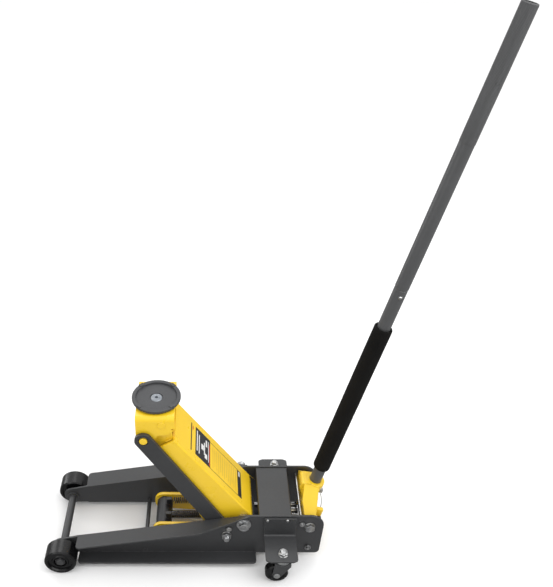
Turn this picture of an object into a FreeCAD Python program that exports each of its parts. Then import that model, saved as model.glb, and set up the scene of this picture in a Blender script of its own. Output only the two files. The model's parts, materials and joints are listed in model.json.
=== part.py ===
"""Hydraulic floor jack with a raised lift arm, modelled as separate pieces.

+X points to the saddle end, +Y to the jack's left and +Z up. The floor is z = 0, the
middle plane is y = 0, and x = 0 is below the lift arm's main pivot.
"""
import FreeCAD, Part
import os
import re

import Sketcher
from FreeCAD import Placement, Rotation, Vector

# Driving dimensions in millimetres and degrees: name, value, what it is.
DIMENSIONS = [
    ("rail_inner", 81, "inner face of each rail's web, from the middle plane"),
    ("rail_gauge", 5, "thickness of the rails' plate"),
    ("rail_bottom", 15, "underside of the rails"),
    ("deck_top", 154, "top of the rails' rear part"),
    ("deck_front", -15, "where the rails' top starts to fall"),
    ("deck_rear", -204.5, "rear end of the rails"),
    ("deck_rear_foot", -197, "rear end of the rails at their underside"),
    ("deck_corner", 36, "radius of the rails' upper rear corner"),
    ("rail_front", 423, "front end of the flanges"),
    ("rail_front_top", 77, "height of the rails at the flanges' front end"),
    ("top_flange_outer", 126, "outer edge of the top flanges"),
    ("top_flange_kink", 115, "where the top flange starts to run out"),
    ("low_flange_outer", 121, "outer edge of the bottom flanges"),
    ("low_flange_rear", -34, "rear end of the bottom flanges"),
    ("nose_radius", 22, "rounding of the rails' noses"),
    ("axle_x", 463, "front axle"),
    ("axle_z", 40, "front axle's height, which is the rollers' radius"),
    ("axle_radius", 10, "front axle's radius"),
    ("roller_inner", 93, "inner face of the front rollers"),
    ("roller_outer", 138, "outer face of the front rollers"),
    ("cap_front", -38, "crossmember's front"),
    ("cap_rear", -121, "crossmember's rear"),
    ("cap_top", 150.7, "crossmember's top"),
    ("cap_depth", 28, "depth of the crossmember's channel"),
    ("caster_x", -96, "caster king pins"),
    ("caster_y", 150.8, "caster king pins, from the middle plane"),
    ("caster_trail", 14, "caster axle ahead of its king pin"),
    ("caster_radius", 29, "caster wheels' radius"),
    ("caster_width", 22, "caster wheels' width"),
    ("caster_plate_top", 90, "top of the caster brackets' shelf"),
    ("bracket_half", 40, "half the length of a caster bracket"),
    ("bracket_outer", 167, "outer corners of the caster brackets"),
    ("bracket_bulge", 172, "outer middle of the caster brackets"),
    ("pivot_z", 126, "lift arm's main pivot"),
    ("pivot_radius", 12, "lift arm's main pivot bolt"),
    ("arm_angle", 58, "lift arm above the horizontal"),
    ("arm_length", 373.5, "main pivot to saddle shaft"),
    ("arm_outer", 70, "outer faces of the lift arm"),
    ("arm_gauge", 6, "thickness of the lift arm's plate"),
    ("arm_top_rear", 23.3, "arm's top above its pivot line, at the rear"),
    ("arm_front", 318, "front end of the arm's channel"),
    ("lobe_along", -30, "lobe pin along the arm's pivot line"),
    ("lobe_across", -80, "lobe pin across the arm's pivot line"),
    ("lobe_pin_radius", 8, "lobe pins"),
    ("shaft_radius", 10, "saddle shaft"),
    ("link_x", 43, "levelling links' pivots ahead of the arm's"),
    ("link_drop", 41, "levelling links' pivots below the arm's"),
    ("link_inner", 71.5, "inner face of the levelling links"),
    ("link_gauge", 8, "thickness of the levelling links"),
    ("link_half", 21, "half the width of the levelling links"),
    ("link_pin_radius", 9.5, "levelling links' upper pins"),
    ("stud_radius", 8, "levelling links' lower studs"),
    ("bracket_top", 21.5, "saddle bracket's top above the saddle shaft"),
    ("saddle_ahead", 14.6, "saddle's axis ahead of the saddle shaft"),
    ("saddle_radius", 58, "saddle's outer radius"),
    ("saddle_bowl", 48.4, "saddle's inner radius"),
    ("saddle_floor", 26.2, "saddle's floor above the saddle shaft"),
    ("saddle_rim", 31.5, "saddle's rim above the saddle shaft"),
    ("screw_recess", 24, "floor of the saddle's counterbore above the saddle shaft"),
    ("ram_z", 60, "height of the ram and its crosshead"),
    ("ram_radius", 10.5, "ram"),
    ("crosshead_x", 206, "crosshead"),
    ("crosshead_radius", 21, "crosshead's roller bar"),
    ("pull_inner", 45, "inner face of the pull links"),
    ("pull_gauge", 9, "thickness of the pull links"),
    ("cylinder_rear", -52, "rear of the cylinder"),
    ("cylinder_front", 90, "front of the cylinder's gland"),
    ("cylinder_radius", 25, "cylinder"),
    ("spring_y", 24, "return springs, from the middle plane"),
    ("spring_z", 88, "return springs' height"),
    ("spring_radius", 9, "return springs' outer radius"),
    ("spring_rear", -23.5, "rear of the return springs"),
    ("spring_front", 184, "front of the return springs"),
    ("yoke_x", -167, "handle yoke's pivot"),
    ("yoke_z", 117, "handle yoke's pivot"),
    ("yoke_radius", 9, "handle yoke's cross shaft"),
    ("yoke_half", 30, "half the width of the yoke's push arms"),
    ("yoke_reach", 76, "half the width of the yoke's legs"),
    ("push_arm", 40, "push roller below the yoke's pivot"),
    ("handle_lean", 13.37, "handle's lean to the rear"),
    ("tube_radius", 15, "lower handle tube"),
    ("tube_bore", 12.5, "lower handle tube's inside"),
    ("joint_at", 676, "top of the lower handle tube, from the yoke's pivot"),
    ("handle_top", 1274, "top of the handle, from the yoke's pivot"),
    ("knurl_at", 1012, "start of the knurled grip"),
    ("foam_start", 127, "lower end of the foam sleeve"),
    ("foam_end", 571, "upper end of the foam sleeve"),
    ("foam_radius", 21.5, "foam sleeve"),
    ("button_at", 660, "spring button, from the yoke's pivot"),
    ("button_radius", 4, "spring button"),
    ("plunger_y", 10, "pump plungers, from the middle plane"),
    ("plunger_z", 86, "pump plungers' height"),
    ("tie_x", -147, "rear tie rod"),
    ("tie_z", 127, "rear tie rod"),
    ("low_tie_z", 39, "lower rear tie rod"),
    ("front_tie_x", 252, "front tie rod"),
    ("front_tie_z", 26, "front tie rod"),
    ("running", 0.05, "radial clearance of a running fit"),
]

DOC = FreeCAD.newDocument("FloorJack")
SHEET = DOC.addObject("Spreadsheet::Sheet", "Sizes")
PARTS = []

# Places that several pieces share, as expressions.
SHAFT_X = "(arm_length * cos(arm_angle))"
SHAFT_Z = "(pivot_z + arm_length * sin(arm_angle))"
LOBE_X = "(lobe_along * cos(arm_angle) - lobe_across * sin(arm_angle))"
LOBE_Z = "(pivot_z + lobe_along * sin(arm_angle) + lobe_across * cos(arm_angle))"
LINK_Z = "(pivot_z - link_drop)"
WEB_OUTER = "(rail_inner + rail_gauge)"


# ---------------------------------------------------------------- the sheet and expressions

def fill_sheet():
    """Write the driving dimensions as plain numbers with aliases."""
    for row, (alias, size, meaning) in enumerate(DIMENSIONS, start=1):
        SHEET.set(f"A{row}", meaning)
        SHEET.set(f"B{row}", str(size))
        SHEET.setAlias(f"B{row}", alias)
    DOC.recompute()


ALIAS = re.compile(r"\b(" + "|".join(name for name, _, _ in DIMENSIONS) + r")\b")


def bound(text):
    """An expression with its dimension names pointed at the sheet."""
    return ALIAS.sub(r"Sizes.\1", text)


def number(text):
    """The present value of an expression."""
    return float(SHEET.evalExpression(bound(text)))


# ---------------------------------------------------------------- PartDesign helpers

def new_body(label):
    body = DOC.addObject("PartDesign::Body", label)
    body.Label = label
    return body


def new_sketch(body, plane, offset="0"):
    """A sketch on one of the body's origin planes, moved along its normal."""
    sketch = body.newObject("Sketcher::SketchObject", "Sketch")
    base = [item for item in body.Origin.OriginFeatures if item.Role == plane][0]
    sketch.AttachmentSupport = [(base, "")]
    sketch.MapMode = "FlatFace"
    sketch.setExpression(".AttachmentOffset.Base.z", bound(offset))
    return sketch


def polygon(sketch, corners):
    """Close a polygon through corners given as pairs of expressions, every corner bound."""
    first = sketch.GeometryCount
    spots = [Vector(number(across), number(up), 0) for across, up in corners]
    for start, end in zip(spots, spots[1:] + spots[:1]):
        sketch.addGeometry(Part.LineSegment(start, end), False)
    for index in range(len(corners)):
        follower = first + (index + 1) % len(corners)
        sketch.addConstraint(Sketcher.Constraint("Coincident", first + index, 2, follower, 1))
    for index, corner in enumerate(corners):
        for kind, text in zip(("DistanceX", "DistanceY"), corner):
            rule = Sketcher.Constraint(kind, -1, 1, first + index, 1, number(text))
            place = sketch.addConstraint(rule)
            sketch.setExpression(f"Constraints[{place}]", bound(text))


def box_outline(sketch, low_x, low_y, high_x, high_y):
    polygon(sketch, [(low_x, low_y), (high_x, low_y), (high_x, high_y), (low_x, high_y)])


def circle(sketch, across, up, radius):
    """A circle with its centre and radius bound."""
    centre = Vector(number(across), number(up), 0)
    ring = sketch.addGeometry(Part.Circle(centre, Vector(0, 0, 1), number(radius)), False)
    rules = [
        (Sketcher.Constraint("DistanceX", -1, 1, ring, 3, number(across)), across),
        (Sketcher.Constraint("DistanceY", -1, 1, ring, 3, number(up)), up),
        (Sketcher.Constraint("Radius", ring, number(radius)), radius),
    ]
    for rule, text in rules:
        place = sketch.addConstraint(rule)
        sketch.setExpression(f"Constraints[{place}]", bound(text))


def settle(body, feature):
    """Recompute, and stop at once if the new feature failed."""
    DOC.recompute()
    if not feature.isValid() or feature.Shape.isNull():
        raise RuntimeError(f"{body.Label}: {feature.Name} failed")
    return feature


def pad(body, sketch, length, reverse=False, centred=False, along=None):
    feature = body.newObject("PartDesign::Pad", "Pad")
    feature.Profile = sketch
    feature.setExpression("Length", bound(length))
    feature.Reversed = reverse
    feature.Midplane = centred
    if along:
        feature.UseCustomVector = True
        feature.Direction = along
    return settle(body, feature)


def cut(body, sketch, length=None, reverse=False):
    """A pocket both ways through everything, or of one length on the sketch's far side."""
    before = body.Shape.Volume
    feature = body.newObject("PartDesign::Pocket", "Pocket")
    feature.Profile = sketch
    if length is None:
        feature.Type = "ThroughAll"
        feature.Midplane = True
    else:
        feature.setExpression("Length", bound(length))
        feature.Reversed = reverse
    settle(body, feature)
    if body.Shape.Volume >= before:
        raise RuntimeError(f"{body.Label}: {feature.Name} removes nothing")
    return feature


def slot_cut(body, sketch, width):
    """A pocket of a width centred on the sketch's plane."""
    feature = body.newObject("PartDesign::Pocket", "Slot")
    feature.Profile = sketch
    feature.setExpression("Length", bound(width))
    feature.Midplane = True
    return settle(body, feature)


def holes(body, plane, spots):
    """Round holes straight through, each an (across, up, radius)."""
    sketch = new_sketch(body, plane)
    for across, up, radius in spots:
        circle(sketch, across, up, radius)
    return cut(body, sketch)


def round_edges(body, radius, wanted):
    """Fillet the straight edges of the body whose middle and direction are wanted."""
    base = body.Tip
    names = []
    for index, edge in enumerate(base.Shape.Edges, start=1):
        if not isinstance(edge.Curve, Part.Line):
            continue
        ends = [vertex.Point for vertex in edge.Vertexes]
        middle = (ends[0] + ends[1]) * 0.5
        heading = (ends[1] - ends[0]).normalize()
        if wanted(middle, heading):
            names.append(f"Edge{index}")
    if not names:
        raise RuntimeError(f"{body.Label}: no edge to round")
    feature = body.newObject("PartDesign::Fillet", "Fillet")
    feature.Base = (base, names)
    feature.setExpression("Radius", bound(radius))
    return settle(body, feature)


def near(points, reach=1.5):
    """Picks edges along Y that pass through any of the (x, z) points."""
    def wanted(middle, heading):
        return abs(heading.y) > 0.9 and any(
            abs(middle.x - number(across)) < reach and abs(middle.z - number(up)) < reach
            for across, up in points)
    return wanted


def upright(middle, heading):
    return abs(heading.z) > 0.999


# ---------------------------------------------------------------- placing and primitives

def place(item, across="0", side="0", up="0", turn=Rotation()):
    """Put a piece at a bound position."""
    spot = Vector(number(across), number(side), number(up))
    item.Placement = Placement(spot, turn)
    for key, text in zip("xyz", (across, side, up)):
        item.setExpression(f".Placement.Base.{key}", bound(text))
    return item


def facing_y(sign):
    """The turn that takes a piece's own +Z to +Y, or to -Y."""
    return Rotation(Vector(1, 0, 0), -90 * sign)


def facing_x():
    return Rotation(Vector(0, 1, 0), 90)


def arm_turn():
    return Rotation(Vector(0, 1, 0), -number("arm_angle"))


def handle_turn():
    return Rotation(Vector(0, 1, 0), -number("handle_lean"))


def handle_spot(across, up):
    """A point of the leaning handle as expressions, from its own across and up."""
    return (f"(yoke_x + ({across}) * cos(handle_lean) - ({up}) * sin(handle_lean))",
            f"(yoke_z + ({across}) * sin(handle_lean) + ({up}) * cos(handle_lean))")


def part(item, label=None):
    """Count a finished piece as one of the jack's sub-parts."""
    if label:
        item.Label = label
    PARTS.append(item)
    return item


def turned(label, profile):
    """A body turned about its own Z from (radius, height) corners."""
    body = new_body(label)
    sketch = new_sketch(body, "XZ_Plane")
    polygon(sketch, profile)
    feature = body.newObject("PartDesign::Revolution", "Revolution")
    feature.Profile = sketch
    feature.ReferenceAxis = (sketch, ["V_Axis"])
    feature.Angle = 360
    DOC.recompute()
    return body


def cylinder(name, radius, height):
    item = DOC.addObject("Part::Cylinder", name)
    item.setExpression("Radius", bound(radius))
    item.setExpression("Height", bound(height))
    return item


def box(name, length, width, height):
    item = DOC.addObject("Part::Box", name)
    for key, text in zip(("Length", "Width", "Height"), (length, width, height)):
        item.setExpression(key, bound(text))
    return item


def ring(name, outer, inner, height):
    """A plain tube about its own Z."""
    wall = cylinder(name + "_wall", outer, height)
    bore = cylinder(name + "_bore", inner, height)
    item = DOC.addObject("Part::Cut", name)
    item.Base = wall
    item.Tool = bore
    return item


def nut(name, corner, height, bore):
    """A hexagonal nut about its own Z, given the radius to its corners."""
    prism = DOC.addObject("Part::Prism", name + "_hexagon")
    prism.Polygon = 6
    prism.setExpression("Circumradius", bound(corner))
    prism.setExpression("Height", bound(height))
    item = DOC.addObject("Part::Cut", name)
    item.Base = prism
    item.Tool = cylinder(name + "_thread", bore, height)
    return item


def group(label, items):
    """Several separate solids that share one node."""
    item = DOC.addObject("Part::Compound", label)
    item.Links = items
    return part(item)


# ---------------------------------------------------------------- frame

def rail(label, sign):
    """A side rail: web with a rounded nose, sloping top flange and bottom flange."""
    body = new_body(label)
    inner = f"{-sign} * rail_inner"
    outward = sign > 0
    web = new_sketch(body, "XZ_Plane", inner)
    tip = "(axle_x + nose_radius + 2)"
    polygon(web, [
        ("deck_rear_foot", "rail_bottom"),
        (tip, "rail_bottom + 2"),
        (tip, "axle_z + nose_radius"),
        ("rail_front", "rail_front_top"),
        ("deck_front", "deck_top"),
        ("deck_rear", "deck_top"),
    ])
    pad(body, web, "rail_gauge", reverse=outward)
    slope = new_sketch(body, "XZ_Plane", inner)
    polygon(slope, [
        ("deck_front", "deck_top"),
        ("deck_front", "deck_top - rail_gauge"),
        ("rail_front", "rail_front_top - rail_gauge"),
        ("rail_front", "rail_front_top"),
    ])
    rise = Vector(0, sign, 0.1)
    pad(body, slope, "(top_flange_outer - rail_inner) * 1.005", along=rise)
    foot = new_sketch(body, "XZ_Plane", inner)
    box_outline(foot, "low_flange_rear", "rail_bottom", "rail_front", "rail_bottom + rail_gauge")
    pad(body, foot, "low_flange_outer - rail_inner", reverse=outward)
    run_out = new_sketch(body, "XY_Plane", "rail_bottom + rail_gauge + 30")
    polygon(run_out, [
        ("deck_front - 5", f"{sign} * (rail_inner + rail_gauge)"),
        ("top_flange_kink", f"{sign} * top_flange_outer"),
        ("top_flange_kink", f"{sign} * (top_flange_outer + 20)"),
        ("deck_front - 5", f"{sign} * (top_flange_outer + 20)"),
    ])
    cut(body, run_out, "200", reverse=True)
    round_edges(body, "nose_radius", near([(tip, "rail_bottom + 2"), (tip, "axle_z + nose_radius")]))
    round_edges(body, "deck_corner", near([("deck_rear", "deck_top")]))
    round_edges(body, "12", near([("deck_rear_foot", "rail_bottom")]))
    corner_y = number("low_flange_outer")
    round_edges(body, "9", lambda middle, heading: upright(middle, heading)
                and abs(abs(middle.y) - corner_y) < 1 and middle.z < 30)
    flange_y = number("top_flange_outer")
    front_x = number("rail_front")
    round_edges(body, "9", lambda middle, heading: abs(heading.x) < 0.5
                and abs(abs(middle.y) - flange_y) < 3 and abs(middle.x - front_x) < 2)
    holes(body, "XZ_Plane", [
        ("axle_x", "axle_z", "axle_radius + running"),
        ("0", "pivot_z", "pivot_radius + running"),
        ("link_x", LINK_Z, "stud_radius + running"),
        ("yoke_x", "yoke_z", "yoke_radius + running"),
        ("tie_x", "tie_z", "4 + running"),
        ("yoke_x", "low_tie_z", "5 + running"),
        ("front_tie_x", "front_tie_z", "5.5 + running"),
    ])
    return part(body)


def crossmember():
    """The capped channel that ties the rails together behind the arm."""
    body = new_body("crossmember")
    top = new_sketch(body, "XY_Plane", "cap_top - cap_depth")
    box_outline(top, "cap_rear", "-rail_inner", "cap_front", "rail_inner")
    pad(body, top, "cap_depth")
    hollow = new_sketch(body, "XY_Plane", "cap_top - rail_gauge")
    box_outline(hollow, "cap_rear + rail_gauge", "rail_gauge - rail_inner",
                "cap_front - rail_gauge", "rail_inner - rail_gauge")
    cut(body, hollow, "cap_depth")
    top_z = number("cap_top")
    round_edges(body, "3", lambda middle, heading: abs(heading.y) > 0.9
                and abs(middle.z - top_z) < 0.1)
    return part(body)


def side_screws():
    """Four round-headed screws through the caster brackets' tabs into the crossmember."""
    items = []
    for sign in (1, -1):
        for column, across in enumerate(("-59", "-109")):
            screw = turned(f"screw_{column}_{'r' if sign < 0 else 'l'}", [
                ("0", "0"), ("4", "0"), ("4", "1.2"), ("2.6", "2.6"), ("0", "3"),
            ])
            place(screw, across, f"{sign} * ({WEB_OUTER} + rail_gauge)", "143.5", facing_y(sign))
            items.append(screw)
    return group("crossmember_screws", items)


def front_axle():
    axle = turned("front_axle", [
        ("0", "-137"), ("axle_radius - 1", "-137"), ("axle_radius", "-136"),
        ("axle_radius", "136"), ("axle_radius - 1", "137"), ("0", "137"),
    ])
    return part(place(axle, "axle_x", "0", "axle_z", facing_y(1)))


def axle_nuts():
    items = []
    for sign in (1, -1):
        item = nut(f"axle_nut_{'r' if sign < 0 else 'l'}", "14", "7", "axle_radius + running")
        items.append(place(item, "axle_x", f"{sign} * 128.5", "axle_z", facing_y(sign)))
    return group("axle_nuts", items)


def front_roller(label, sign):
    """Steel roller with a stepped recess round its nut and a hub towards the rail."""
    wide = "(roller_outer - roller_inner)"
    roller = turned(label, [
        ("axle_radius + running", "-6.5"),
        ("16", "-6.5"),
        ("16", "4"),
        ("30", "4"),
        ("32", "0"),
        ("axle_z - 3", "0"),
        ("axle_z", "3"),
        ("axle_z", f"{wide} - 3"),
        ("axle_z - 3", wide),
        ("31", wide),
        ("29", f"{wide} - 5"),
        ("22", f"{wide} - 5"),
        ("20", f"{wide} - 3"),
        ("17", f"{wide} - 3"),
        ("17", f"{wide} - 10"),
        ("axle_radius + running", f"{wide} - 10"),
    ])
    return part(place(roller, "axle_x", f"{sign} * roller_inner", "axle_z", facing_y(sign)))


def tie_rod(label, across, up, radius, reach):
    """A round tie between the rails, its ends flush with its nuts."""
    rod = turned(label, [
        ("0", f"-({reach})"), (radius, f"-({reach})"), (radius, reach), ("0", reach),
    ])
    return part(place(rod, across, "0", up, facing_y(1)))


def tie_rod_nuts():
    items = []
    spots = [("tie_x", "tie_z", "4", "8"), ("yoke_x", "low_tie_z", "5", "9")]
    for sign in (1, -1):
        for row, (across, up, bore, corner) in enumerate(spots):
            name = f"tie_nut_{row}_{'r' if sign < 0 else 'l'}"
            item = nut(name, corner, "6", f"{bore} + running")
            items.append(place(item, across, f"{sign} * ({WEB_OUTER} + 0.1)", up, facing_y(sign)))
    return group("tie_rod_nuts", items)


def stop_bolts():
    """Small hexagon bolts on the rails ahead of the arm's pivot."""
    items = []
    for sign in (1, -1):
        head = DOC.addObject("Part::Prism", f"stop_{'r' if sign < 0 else 'l'}")
        head.Polygon = 6
        head.Circumradius = 6.5
        head.Height = 5
        items.append(place(head, "37", f"{sign} * {WEB_OUTER}", "109", facing_y(sign)))
    return group("rail_stop_bolts", items)


# ---------------------------------------------------------------- casters

def caster_bracket(label, sign):
    """Angle plate: a tab on the rail and a shelf that carries the king pin."""
    body = new_body(label)
    shelf = new_sketch(body, "XY_Plane", "caster_plate_top - rail_gauge")
    front = "(caster_x + 4 + bracket_half)"
    rear = "(caster_x + 4 - bracket_half)"
    middle = "(caster_x + 4)"
    polygon(shelf, [
        (rear, f"{sign} * {WEB_OUTER}"),
        (front, f"{sign} * {WEB_OUTER}"),
        (front, f"{sign} * bracket_outer"),
        (f"{middle} + 28", f"{sign} * bracket_bulge"),
        (f"{middle} - 28", f"{sign} * bracket_bulge"),
        (rear, f"{sign} * bracket_outer"),
    ])
    pad(body, shelf, "rail_gauge")
    tab = new_sketch(body, "XZ_Plane", f"{-sign} * {WEB_OUTER}")
    box_outline(tab, rear, "caster_plate_top - rail_gauge", front, "deck_top - 5")
    pad(body, tab, "rail_gauge", reverse=sign > 0)
    low = number("caster_plate_top - rail_gauge")
    bend = number(WEB_OUTER)
    round_edges(body, "4.5", lambda point, heading: abs(heading.x) > 0.9
                and abs(point.z - low) < 0.1 and abs(abs(point.y) - bend) < 0.1)
    inside = number(f"{WEB_OUTER} + rail_gauge")
    shelf_top = number("caster_plate_top")
    round_edges(body, "5", lambda point, heading: abs(heading.x) > 0.9
                and abs(point.z - shelf_top) < 0.1 and abs(abs(point.y) - inside) < 0.1)
    round_edges(body, "6", lambda point, heading: upright(point, heading)
                and abs(point.y) > inside + 1)
    holes(body, "XY_Plane", [("caster_x", f"{sign} * caster_y", "8 + running")])
    return part(body)


def king_pins():
    """Headed pins that hold the caster forks to their brackets."""
    items = []
    for sign in (1, -1):
        pin = turned(f"king_pin_{'r' if sign < 0 else 'l'}", [
            ("0", "61.5"), ("10", "61.5"), ("11.5", "63"), ("11.5", "67.6"), ("8", "67.6"),
            ("8", "100"), ("6", "102.5"), ("0", "103"),
        ])
        items.append(place(pin, "caster_x", f"{sign} * caster_y", "0"))
    return group("king_pins", items)


def king_pin_nuts():
    items = []
    for sign in (1, -1):
        item = nut(f"king_nut_{'r' if sign < 0 else 'l'}", "12.5", "9", "8 + running")
        items.append(place(item, "caster_x", f"{sign} * caster_y", "caster_plate_top"))
    return group("king_pin_nuts", items)


def caster_fork(label, sign):
    """Swivelling fork: a round top and two cheeks that trail to the axle."""
    body = new_body(label)
    side = new_sketch(body, "XZ_Plane")
    polygon(side, [
        ("-20", "74"), ("20", "74"), ("caster_trail + 11", "caster_radius + 5"),
        ("caster_trail + 9", "caster_radius - 9"), ("caster_trail - 7", "caster_radius - 9"),
        ("-20", "62"),
    ])
    half = "(caster_width / 2 + 4.5)"
    pad(body, side, f"2 * {half}", centred=True)
    gap = new_sketch(body, "XZ_Plane")
    box_outline(gap, "-40", "0", "60", "68")
    slot_cut(body, gap, "caster_width + 2")
    crown = new_sketch(body, "XY_Plane", "68")
    circle(crown, "0", "0", "21")
    pad(body, crown, "6")
    low_corners = [("caster_trail + 9", "caster_radius - 9"), ("caster_trail - 7", "caster_radius - 9"),
                   ("caster_trail + 11", "caster_radius + 5")]
    round_edges(body, "6", near(low_corners))
    holes(body, "XY_Plane", [("0", "0", "8 + running")])
    holes(body, "XZ_Plane", [("caster_trail", "caster_radius", "5 + running")])
    return part(place(body, "caster_x", f"{sign} * caster_y", "0"))


def caster_race(label, sign):
    race = turned(label, [
        ("8 + running", "74"), ("19", "74"), ("20.5", "76"), ("20.5", "80"), ("18", "84.6"),
        ("8 + running", "84.6"),
    ])
    return part(place(race, "caster_x", f"{sign} * caster_y", "0"))


def caster_axle(label, sign):
    """Headed pin across the fork."""
    end = "(caster_width / 2 + 4.5)"
    axle = turned(label, [
        ("0", f"-{end} - 3"), ("7", f"-{end} - 3"), ("8", f"-{end} - 2"), ("8", f"-{end}"),
        ("5", f"-{end}"), ("5", end), ("8", end), ("8", f"{end} + 2"), ("7", f"{end} + 3"),
        ("0", f"{end} + 3"),
    ])
    return part(place(axle, "caster_x + caster_trail", f"{sign} * caster_y", "caster_radius",
                      facing_y(sign)))


def caster_wheel(label, sign):
    half = "(caster_width / 2)"
    wheel = turned(label, [
        ("5 + running", f"-{half}"), ("10", f"-{half}"), ("11", f"-{half} + 2"),
        ("20", f"-{half} + 2"), ("21", f"-{half}"), ("caster_radius - 3", f"-{half}"),
        ("caster_radius", f"-{half} + 3"), ("caster_radius", f"{half} - 3"),
        ("caster_radius - 3", half), ("21", half), ("20", f"{half} - 2"),
        ("11", f"{half} - 2"), ("10", half), ("5 + running", half),
    ])
    return part(place(wheel, "caster_x + caster_trail", f"{sign} * caster_y", "caster_radius",
                      facing_y(sign)))


# ---------------------------------------------------------------- lift arm and saddle

def lift_arm():
    """Inverted channel, tapering forward, with lobes below its pivot tube."""
    body = new_body("lift_arm")
    side = new_sketch(body, "XZ_Plane")
    polygon(side, [
        ("2", "arm_top_rear"),
        ("arm_front", "0"),
        ("arm_front", "-40"),
        ("205", "-50"),
        ("128", "-78"),
        ("60", "-88"),
        ("lobe_along - 20", "lobe_across - 20"),
        ("lobe_along - 20", "lobe_across + 20"),
        ("-27", "-12"),
        ("-22", "17"),
    ])
    pad(body, side, "2 * arm_outer", centred=True)
    lobe = ("lobe_along - 20", "lobe_across - 20")
    round_edges(body, "18", near([lobe]))
    round_edges(body, "14", near([("-27", "-12"), ("-22", "17")]))
    hollow = new_sketch(body, "XZ_Plane")
    polygon(hollow, [
        ("-60", "arm_top_rear - arm_gauge + 4.5"),
        ("arm_front + 20", "-1.4 - arm_gauge"),
        ("arm_front + 20", "-130"),
        ("-60", "-130"),
    ])
    slot_cut(body, hollow, "2 * (arm_outer - arm_gauge)")
    outer = number("arm_outer")
    round_edges(body, "4", lambda point, heading: abs(heading.x) > 0.9 and point.z > 5
                and abs(abs(point.y) - outer) < 0.1)
    tube = new_sketch(body, "XZ_Plane")
    circle(tube, "0", "0", "pivot_radius + 8")
    pad(body, tube, "2 * arm_outer", centred=True)
    holes(body, "XZ_Plane", [
        ("0", "0", "pivot_radius + running"),
        ("lobe_along", "lobe_across", "lobe_pin_radius + 0.02"),
    ])
    return part(place(body, "0", "0", "pivot_z", arm_turn()))


def arm_nose():
    """Two plates and a web inside the arm's front end that carry the saddle shaft."""
    body = new_body("arm_nose")
    side = new_sketch(body, "XZ_Plane")
    polygon(side, [
        ("262", "-2"), ("arm_front", "-6.1"), ("arm_length - 6.5", "15.1"), ("arm_length", "0"),
        ("arm_length - 3", "-16"), ("355", "-44"), ("345", "-52"), ("arm_front", "-52"),
        ("262", "-41"),
    ])
    pad(body, side, "116", centred=True)
    eye = new_sketch(body, "XZ_Plane")
    circle(eye, "arm_length", "0", "16.5")
    pad(body, eye, "116", centred=True)
    gap = new_sketch(body, "XZ_Plane")
    box_outline(gap, "255", "-28", "arm_length + 30", "40")
    slot_cut(body, gap, "98")
    low_gap = new_sketch(body, "XZ_Plane")
    box_outline(low_gap, "arm_front - 10", "-50", "arm_length + 30", "40")
    slot_cut(body, low_gap, "98")
    holes(body, "XZ_Plane", [("arm_length", "0", "shaft_radius + 0.02")])
    return part(place(body, "0", "0", "pivot_z", arm_turn()))


def saddle_shaft():
    shaft = turned("saddle_shaft", [
        ("0", "-70.8"), ("shaft_radius - 1", "-70.8"), ("shaft_radius", "-69.8"),
        ("shaft_radius", "69.8"), ("shaft_radius - 1", "70.8"), ("0", "70.8"),
    ])
    return part(place(shaft, SHAFT_X, "0", SHAFT_Z, facing_y(1)))


def lobe_pins():
    """Stub pins inside the arm's lobes, on which the pull links ride."""
    items = []
    for sign in (1, -1):
        pin = turned(f"lobe_pin_{'r' if sign < 0 else 'l'}", [
            ("0", "44"), ("lobe_pin_radius", "44"), ("lobe_pin_radius", "54.6"),
            ("12", "54.6"), ("12", "arm_outer - arm_gauge"),
            ("lobe_pin_radius", "arm_outer - arm_gauge"), ("lobe_pin_radius", "arm_outer"),
            ("0", "arm_outer"),
        ])
        items.append(place(pin, LOBE_X, "0", LOBE_Z, facing_y(sign)))
    return group("lobe_pins", items)


def saddle_bracket():
    """Inverted channel that hangs on the saddle shaft and is kept level by the links."""
    body = new_body("saddle_bracket")
    side = new_sketch(body, "XZ_Plane")
    polygon(side, [
        ("-30.5", "bracket_top"), ("60.7", "bracket_top"), ("60.7", "-32"),
        ("link_x + 20", "-link_drop"), ("link_x + 18", "-link_drop - 20"),
        ("link_x - 16", "-link_drop - 20"), ("10", "-32"), ("-16", "-27"), ("-30.5", "-14"),
    ])
    pad(body, side, "2 * arm_outer", centred=True)
    round_edges(body, "15", near([("link_x + 18", "-link_drop - 20")]))
    round_edges(body, "12", near([("link_x - 16", "-link_drop - 20"), ("-30.5", "-14")]))
    hollow = new_sketch(body, "XZ_Plane")
    box_outline(hollow, "-60", "-90", "90", "bracket_top - 4.5")
    slot_cut(body, hollow, "2 * (arm_outer - arm_gauge)")
    top = number("bracket_top")
    round_edges(body, "12", lambda point, heading: abs(heading.x) > 0.9
                and abs(point.z - top) < 0.1 and abs(point.y) > 60)
    holes(body, "XZ_Plane", [
        ("0", "0", "shaft_radius + running"),
        ("link_x", "-link_drop", "link_pin_radius + 0.02"),
        ("-25", "-12", "2.5"),
    ])
    holes(body, "XY_Plane", [("saddle_ahead", "0", "8 + 0.02")])
    return part(place(body, SHAFT_X, "0", SHAFT_Z))


def link_pins():
    """Upper pins of the levelling links, fixed in the saddle bracket's cheeks."""
    items = []
    for sign in (1, -1):
        pin = turned(f"link_pin_{'r' if sign < 0 else 'l'}", [
            ("0", "60"), ("13", "60"), ("13", "arm_outer - arm_gauge"),
            ("link_pin_radius", "arm_outer - arm_gauge"), ("link_pin_radius", "79.4"),
            ("link_pin_radius - 1", "80.4"), ("0", "80.4"),
        ])
        items.append(place(pin, f"{SHAFT_X} + link_x", "0", f"{SHAFT_Z} - link_drop",
                           facing_y(sign)))
    return group("link_pins", items)


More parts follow.
